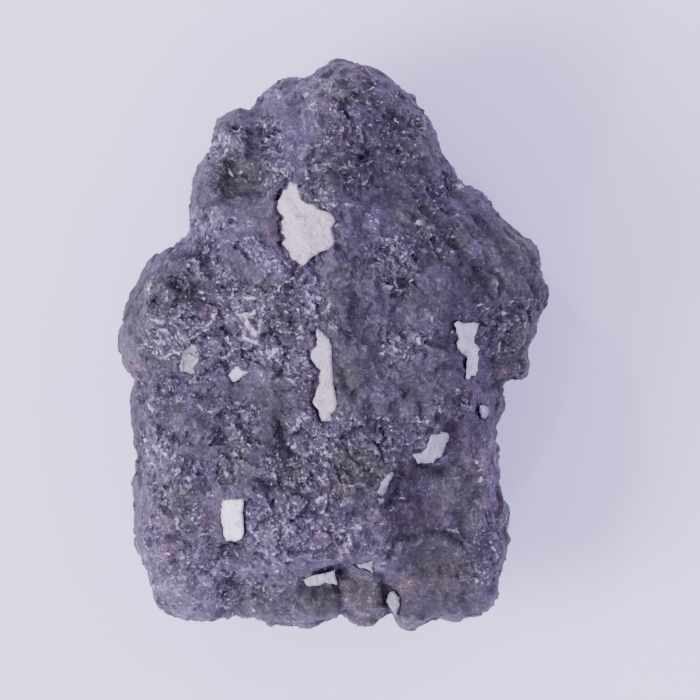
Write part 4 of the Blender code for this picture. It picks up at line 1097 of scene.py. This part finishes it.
def dark_diamond():
    net = Net("dark_diamond_crystal")
    mm = net.millimetres()
    crystal, proud, blade = net.attribute("crystal"), net.attribute("proud"), net.attribute("blade")
    rust, green, light = net.attribute("rust"), net.attribute("green"), net.attribute("light")
    fibre, dull = net.attribute("fibre"), net.attribute("dull")
    wander = net.node("ShaderNodeTexNoise", inputs={"Vector": mm, "Scale": 2.4, "Detail": 2.5, "Roughness": 0.5}).outputs["Color"]
    wander = net.vmath("SCALE", net.vmath("SUBTRACT", wander, (0.5, 0.5, 0.5)), scale=0.55)
    warped = net.vmath("ADD", mm, wander)
    broad = net.noise(mm, 0.42, 4.0, 0.55)
    medium = net.noise(mm, 1.9, 5.0, 0.62)
    fine = net.noise(mm, 7.5, 5.0, 0.68)
    upright = net.vmath("MULTIPLY", warped, (9.0, 2.4, 5.0))
    threads = net.noise(upright, 1.0, 3.0, 0.6)
    d1, a1, b1, whole1, face1 = blades(net, warped, 1.5, 3.1, 9.5, 3.4)
    d2, a2, b2, whole2, face2 = blades(net, warped, 3.4, 7.7, 13.0, 6.0)
    which = net.ramp(net.noise(mm, 1.3, 2.0, 0.5), [(0.44, (0, 0, 0)), (0.54, (1, 1, 1))])
    d, tone, second, whole = net.blend(which, d1, d2), net.blend(which, a1, a2), net.blend(which, b1, b2), net.blend(which, whole1, whole2)

    # the ground: dark violet grey, velvety, a little fibrous
    sand = net.noise(mm, 15.0, 4.0, 0.7)
    grain = net.blend(fibre, net.blend(0.5, fine, sand), net.blend(0.55, sand, threads))
    mottle = net.math("ADD", net.math("MULTIPLY", medium, 0.42), net.math("MULTIPLY", grain, 0.58))
    ground = net.ramp(mottle, [(0.38, (0.025, 0.022, 0.039)), (0.46, (0.039, 0.035, 0.062)), (0.54, (0.062, 0.056, 0.096)), (0.64, (0.135, 0.125, 0.197))])
    # ground grains of differing tone, the brightest of them painted glints
    specks = net.node("ShaderNodeTexVoronoi", feature="F1", inputs={"Vector": net.vmath("MULTIPLY", warped, (1.0, 1.25, 1.0)), "Scale": 10.5, "Randomness": 1.0})
    speck = net.node("ShaderNodeSeparateColor", inputs={"Color": specks.outputs["Color"]})
    speck_tone_and_glints = net.ramp(speck.outputs[0], [(0.02, (0.62, 0.61, 0.66)), (0.45, (0.90, 0.90, 0.91)), (0.82, (1.16, 1.15, 1.17)), (0.93, (1.75, 1.72, 1.80)), (1.0, (2.7, 2.65, 2.85))])
    ground = net.mix(1.0, ground, speck_tone_and_glints, "MULTIPLY")
    hue = net.noise(mm, 1.15, 4.0, 0.6)
    ground = net.mix(1.0, ground, net.ramp(hue, [(0.36, (1.03, 1.07, 0.89)), (0.50, (1.0, 1.0, 1.0)), (0.62, (1.11, 0.96, 1.18))]), "MULTIPLY")
    # the crystals: each blade has its own tone, and is darker along its edges
    toned = net.ramp(tone, [(0.10, (0.026, 0.023, 0.041)), (0.50, (0.045, 0.040, 0.071)), (0.80, (0.082, 0.075, 0.125)), (0.97, (0.15, 0.140, 0.215))])
    rim = net.ramp(d, [(0.18, (1.12, 1.12, 1.12)), (0.45, (0.92, 0.92, 0.94)), (0.72, (0.66, 0.65, 0.70))])
    faces = net.mix(1.0, toned, rim, "MULTIPLY")
    edge = net.ramp(net.math("ADD", crystal, net.math("MULTIPLY", net.math("SUBTRACT", net.math("ADD", medium, fine), 1.0), 0.70)), [(0.16, (0, 0, 0)), (0.72, (1, 1, 1))])
    ground = net.mix(0.45, ground, faces)
    colour = net.mix(edge, ground, faces)
    # lighter and darker patches of the stone's own tone, with painted shade on the brightly lit left flank and in deep
    # recesses
    tone_and_shade_lift = net.ramp(light, [(0.0, (0.56, 0.54, 0.60)), (0.22, (0.77, 0.75, 0.81)), (0.5, (1.0, 1.0, 1.0)), (1.0, (1.42, 1.39, 1.46))])
    colour = net.mix(1.0, colour, tone_and_shade_lift, "MULTIPLY")
    # painted shade: darker in the hollows between lumps, and lighter on the proud points as wear
    hollow_shade_and_wear = net.ramp(proud, [(0.10, (0.74, 0.72, 0.79)), (0.40, (0.91, 0.90, 0.93)), (0.60, (1.04, 1.03, 1.04)), (0.90, (1.22, 1.20, 1.24))])
    colour = net.mix(1.0, colour, hollow_shade_and_wear, "MULTIPLY")
    lavender = net.ramp(broad, [(0.38, (0.88, 0.89, 0.86)), (0.52, (1.0, 0.985, 1.015)), (0.64, (1.15, 1.07, 1.20))])
    colour = net.mix(1.0, colour, lavender, "MULTIPLY")
    colour = net.mix(1.0, colour, (1.29, 1.20, 1.16, 1), "MULTIPLY")
    # the flanks and the underside are greyer than the crown
    height = net.node("ShaderNodeSeparateXYZ", inputs={"Vector": mm}).outputs["Z"]
    low = net.ramp(net.math("MULTIPLY", net.math("ADD", height, net.math("MULTIPLY", net.math("SUBTRACT", broad, 0.5), 3.0)), 0.1), [(0.30, (1.14, 1.08, 0.78)), (0.70, (1.0, 1.0, 1.0))])
    colour = net.mix(1.0, colour, low, "MULTIPLY")
    drift = net.math("MULTIPLY", green, net.math("MULTIPLY", medium, 1.5))
    colour = net.mix(net.math("MULTIPLY", drift, 0.90), colour, net.mix(1.0, colour, (1.12, 1.20, 0.84, 1), "MULTIPLY"))
    stain = net.math("MULTIPLY", rust, net.ramp(medium, [(0.38, (0.2, 0.2, 0.2)), (0.60, (1, 1, 1))]))
    colour = net.mix(net.math("MULTIPLY", stain, 0.62), colour, net.mix(1.0, net.mix(0.15, colour, (0.13, 0.105, 0.12, 1)), (1.38, 0.90, 0.98, 1), "MULTIPLY"))
    # painted glints, partly pale blades of crystal: the palest blades, thick in some crystals and sparse in others
    density = net.math("ADD", net.math("MULTIPLY", net.math("MAXIMUM", edge, 0.12), net.math("ADD", net.math("MULTIPLY", whole, 0.30), 0.03)), net.math("MULTIPLY", net.math("SUBTRACT", light, 0.5), 0.16))
    chosen = net.math("SUBTRACT", net.math("ADD", second, density), 1.0)
    sharp = net.math("MULTIPLY", net.ramp(chosen, [(0.0, (0, 0, 0)), (0.04, (1, 1, 1))]), net.ramp(d, [(0.30, (1, 1, 1)), (0.52, (0, 0, 0))]))
    strength = net.math("ADD", net.math("MULTIPLY", tone, 0.75), 0.25)
    painted_glint_and_pale_blade = net.math("MULTIPLY", sharp, strength)
    splinter = net.noise(net.vmath("MULTIPLY", warped, (13.0, 11.0, 9.0)), 1.0, 2.0, 0.6)
    cut = net.math("ADD", net.math("MULTIPLY", blade, 0.95), net.math("ADD", net.math("MULTIPLY", net.math("SUBTRACT", splinter, 0.5), 1.5), net.math("MULTIPLY", net.math("SUBTRACT", tone, 0.5), 0.45)))
    drawn = net.math("MULTIPLY", net.ramp(cut, [(0.30, (0, 0, 0)), (0.95, (1, 1, 1))]), net.ramp(blade, [(0.06, (0, 0, 0)), (0.55, (1, 1, 1))]))
    painted_glint_and_pale_blade = net.math("MAXIMUM", painted_glint_and_pale_blade, drawn)
    colour = net.mix(net.math("MULTIPLY", painted_glint_and_pale_blade, 0.84), colour, (0.57, 0.545, 0.69, 1))
    net.link(colour, net.shader.inputs["Base Color"])

    rough = net.blend(edge, net.math("ADD", net.math("MULTIPLY", fine, 0.25), 0.42), net.math("ADD", net.math("MULTIPLY", second, 0.26), 0.22))
    net.link(rough, net.shader.inputs["Roughness"])
    net.shader.inputs["IOR"].default_value = 1.46
    net.shader.inputs["Metallic"].default_value = 0.0

    facets = net.math("ADD", net.math("MULTIPLY", face1, 0.14), net.math("MULTIPLY", face2, 0.24))
    domes = net.math("MULTIPLY", net.math("SUBTRACT", 0.6, d), 0.030)
    height = net.math("MULTIPLY", net.math("ADD", facets, domes), net.math("ADD", net.math("MULTIPLY", edge, 0.70), 0.32))
    gritty = net.math("ADD", net.math("MULTIPLY", net.noise(mm, 17.0, 4.0, 0.65), 0.034), net.math("MULTIPLY", grain, 0.075))
    height = net.math("ADD", height, gritty)
    bump = net.node("ShaderNodeBump", inputs={"Height": height, "Strength": 0.9, "Distance": 0.001})
    net.link(bump.outputs["Normal"], net.shader.inputs["Normal"])
    return net.material


def pale_mineral():
    net = Net("pale_mineral_grain")
    mm = net.millimetres()
    crack, edge, tone, pink = (net.attribute(k) for k in ("crack", "edge", "tone", "pink"))
    broad = net.noise(mm, 1.9, 4.0, 0.6)
    fine = net.noise(mm, 12.0, 5.0, 0.65)
    body = net.math("ADD", net.math("MULTIPLY", broad, 0.65), net.math("MULTIPLY", fine, 0.35))
    rosy = net.ramp(body, [(0.36, (0.62, 0.43, 0.69)), (0.46, (0.89, 0.67, 0.91)), (0.55, (1.0, 0.81, 1.0)), (0.66, (1.0, 0.89, 1.0))])
    cold = net.ramp(body, [(0.36, (0.56, 0.50, 0.74)), (0.46, (0.81, 0.75, 0.97)), (0.55, (0.92, 0.87, 1.0)), (0.66, (1.0, 0.96, 1.0))])
    colour = net.mix(pink, cold, rosy)
    # each grain's tone, which holds painted shade for the grains that lie in shade
    level = net.node("ShaderNodeCombineXYZ", inputs={"X": tone, "Y": tone, "Z": tone}).outputs[0]
    colour = net.mix(1.0, colour, level, "MULTIPLY")
    patch = net.noise(mm, 4.3, 4.0, 0.62)
    # stained where it meets the dark stone, and in scattered specks
    stain = net.math("ADD", net.math("MULTIPLY", edge, 0.62), net.math("MULTIPLY", net.math("SUBTRACT", patch, 0.5), 1.9))
    stained = net.ramp(stain, [(0.30, (0, 0, 0)), (0.80, (0.78, 0.78, 0.78))])
    colour = net.mix(stained, colour, net.mix(patch, (0.15, 0.115, 0.185, 1), (0.34, 0.30, 0.41, 1)))
    speck = net.node("ShaderNodeTexVoronoi", feature="F1", inputs={"Vector": net.vmath("ADD", mm, net.vmath("SCALE", net.node("ShaderNodeTexNoise", inputs={"Vector": mm, "Scale": 9.0}).outputs["Color"], scale=0.12)), "Scale": 6.0, "Randomness": 1.0})
    spots = net.ramp(speck.outputs["Distance"], [(0.05, (1, 1, 1)), (0.16, (0, 0, 0))])
    sparse = net.ramp(net.node("ShaderNodeSeparateColor", inputs={"Color": speck.outputs["Color"]}).outputs[0], [(0.72, (0, 0, 0)), (0.76, (1, 1, 1))])
    dirt = net.math("MULTIPLY", net.math("MULTIPLY", spots, sparse), 0.55)
    colour = net.mix(dirt, colour, (0.30, 0.26, 0.33, 1))
    colour = net.mix(net.math("MULTIPLY", crack, 0.55), colour, (0.20, 0.15, 0.20, 1))
    net.link(colour, net.shader.inputs["Base Color"])
    net.link(net.math("ADD", net.math("MULTIPLY", fine, 0.3), 0.42), net.shader.inputs["Roughness"])
    net.shader.inputs["IOR"].default_value = 1.55
    height = net.math("ADD", net.math("MULTIPLY", fine, 0.070), net.math("MULTIPLY", net.noise(mm, 26.0, 3.0, 0.6), 0.020))
    height = net.math("ADD", height, net.math("MULTIPLY", patch, 0.10))
    bump = net.node("ShaderNodeBump", inputs={"Height": height, "Strength": 0.8, "Distance": 0.001})
    net.link(bump.outputs["Normal"], net.shader.inputs["Normal"])
    return net.material


def clear_mineral():
    net = Net("clear_mineral_grain")
    mm = net.millimetres()
    broad = net.noise(mm, 2.4, 4.0, 0.6)
    fine = net.noise(mm, 13.0, 5.0, 0.65)
    colour = net.ramp(net.math("ADD", net.math("MULTIPLY", broad, 0.7), net.math("MULTIPLY", fine, 0.3)),
                      [(0.34, (0.12, 0.11, 0.155)), (0.5, (0.27, 0.255, 0.335)), (0.64, (0.55, 0.53, 0.64))])
    tone = net.attribute("tone")
    colour = net.mix(1.0, colour, net.node("ShaderNodeCombineXYZ", inputs={"X": tone, "Y": tone, "Z": tone}).outputs[0], "MULTIPLY")
    edge = net.math("ADD", net.math("MULTIPLY", net.attribute("edge"), 0.62), net.math("MULTIPLY", net.math("SUBTRACT", net.noise(mm, 3.7, 4.0, 0.62), 0.5), 2.2))
    colour = net.mix(net.ramp(edge, [(0.22, (0, 0, 0)), (0.74, (0.88, 0.88, 0.88))]), colour, (0.078, 0.070, 0.112, 1))
    net.link(colour, net.shader.inputs["Base Color"])
    net.link(net.math("ADD", net.math("MULTIPLY", fine, 0.3), 0.22), net.shader.inputs["Roughness"])
    net.shader.inputs["IOR"].default_value = 1.6
    height = net.math("ADD", net.math("MULTIPLY", fine, 0.04), net.math("MULTIPLY", net.noise(mm, 28.0, 3.0, 0.6), 0.010))
    bump = net.node("ShaderNodeBump", inputs={"Height": height, "Strength": 0.8, "Distance": 0.001})
    net.link(bump.outputs["Normal"], net.shader.inputs["Normal"])
    return net.material


def floor_material():
    net = Net("pale_floor")
    coords = net.node("ShaderNodeTexCoord").outputs["Object"]
    soft = net.noise(coords, 3.0, 2.0, 0.5)
    colour = net.ramp(soft, [(0.35, (0.79, 0.72, 0.985)), (0.65, (0.805, 0.735, 1.0))])
    net.link(colour, net.shader.inputs["Base Color"])
    net.shader.inputs["Roughness"].default_value = 0.9
    net.shader.inputs["IOR"].default_value = 1.3
    net.shader.inputs["Emission Color"].default_value = (0.50, 0.41, 1.0, 1)
    net.shader.inputs["Emission Strength"].default_value = 0.55
    return net.material


# --------------------------------------------------------------- the studio
def build_studio():
    n, radius = 48, 2.5
    ring = [(radius * math.cos(2 * math.pi * k / n), radius * math.sin(2 * math.pi * k / n), 0.0) for k in range(n)]
    pts = np.array([(0.0, 0.0, 0.0)] + ring)
    tris = np.array([(0, 1 + k, 1 + (k + 1) % n) for k in range(n)])
    mesh = new_mesh("studio_floor", pts, tris)
    floor = bpy.data.objects.new("studio_floor", mesh)
    mesh.materials.append(floor_material())
    bpy.context.scene.collection.objects.link(floor)

    world = bpy.data.worlds.new("studio")
    bpy.context.scene.world = world
    world.use_nodes = True
    back = world.node_tree.nodes["Background"]
    back.inputs["Color"].default_value = (0.80, 0.755, 1.0, 1)
    back.inputs["Strength"].default_value = 1.20

    def lamp(name, at, size, watts, colour, spread=math.pi):
        light = bpy.data.lights.new(name, "AREA")
        light.shape = "DISK"
        light.size = size
        light.energy = watts
        light.color = colour
        light.spread = spread
        obj = bpy.data.objects.new(name, light)
        obj.location = at
        obj.rotation_mode = "QUATERNION"
        obj.rotation_quaternion = (Vector((0, 0, 0.004)) - Vector(at)).to_track_quat("-Z", "Y")
        obj.visible_camera = False
        bpy.context.scene.collection.objects.link(obj)
        return obj

    lamp("key", (-0.17, -0.06, 0.13), 0.13, 0.82, (1.0, 0.97, 1.0))
    lamp("fill", (0.14, 0.12, 0.20), 0.16, 0.12, (0.88, 0.86, 1.0))
    lamp("spark_left", (-0.10, 0.13, 0.16), 0.018, 0.09, (1.0, 0.98, 1.0))
    lamp("spark_low", (-0.06, -0.19, 0.12), 0.018, 0.13, (1.0, 0.98, 1.0))

    camera = bpy.data.cameras.new("camera")
    camera.lens = 400
    camera.sensor_width = 36
    camera.clip_start, camera.clip_end = 0.001, 10
    eye = bpy.data.objects.new("camera", camera)
    rim = (-10 - REST_PLANE) * GRID
    eye.location = (19 * GRID, -6 * GRID, rim + 700 * GRID / (36 / 400))
    bpy.context.scene.collection.objects.link(eye)
    bpy.context.scene.camera = eye


build_studio()
build_stone(dark_diamond())
pale, clear = pale_mineral(), clear_mineral()
for grain_name, grain in GRAINS.items():
    build_grain(grain_name, grain, pale if grain["kind"] == "pale" else clear)
print("all pieces", round(time.time() - T0, 1), "s")
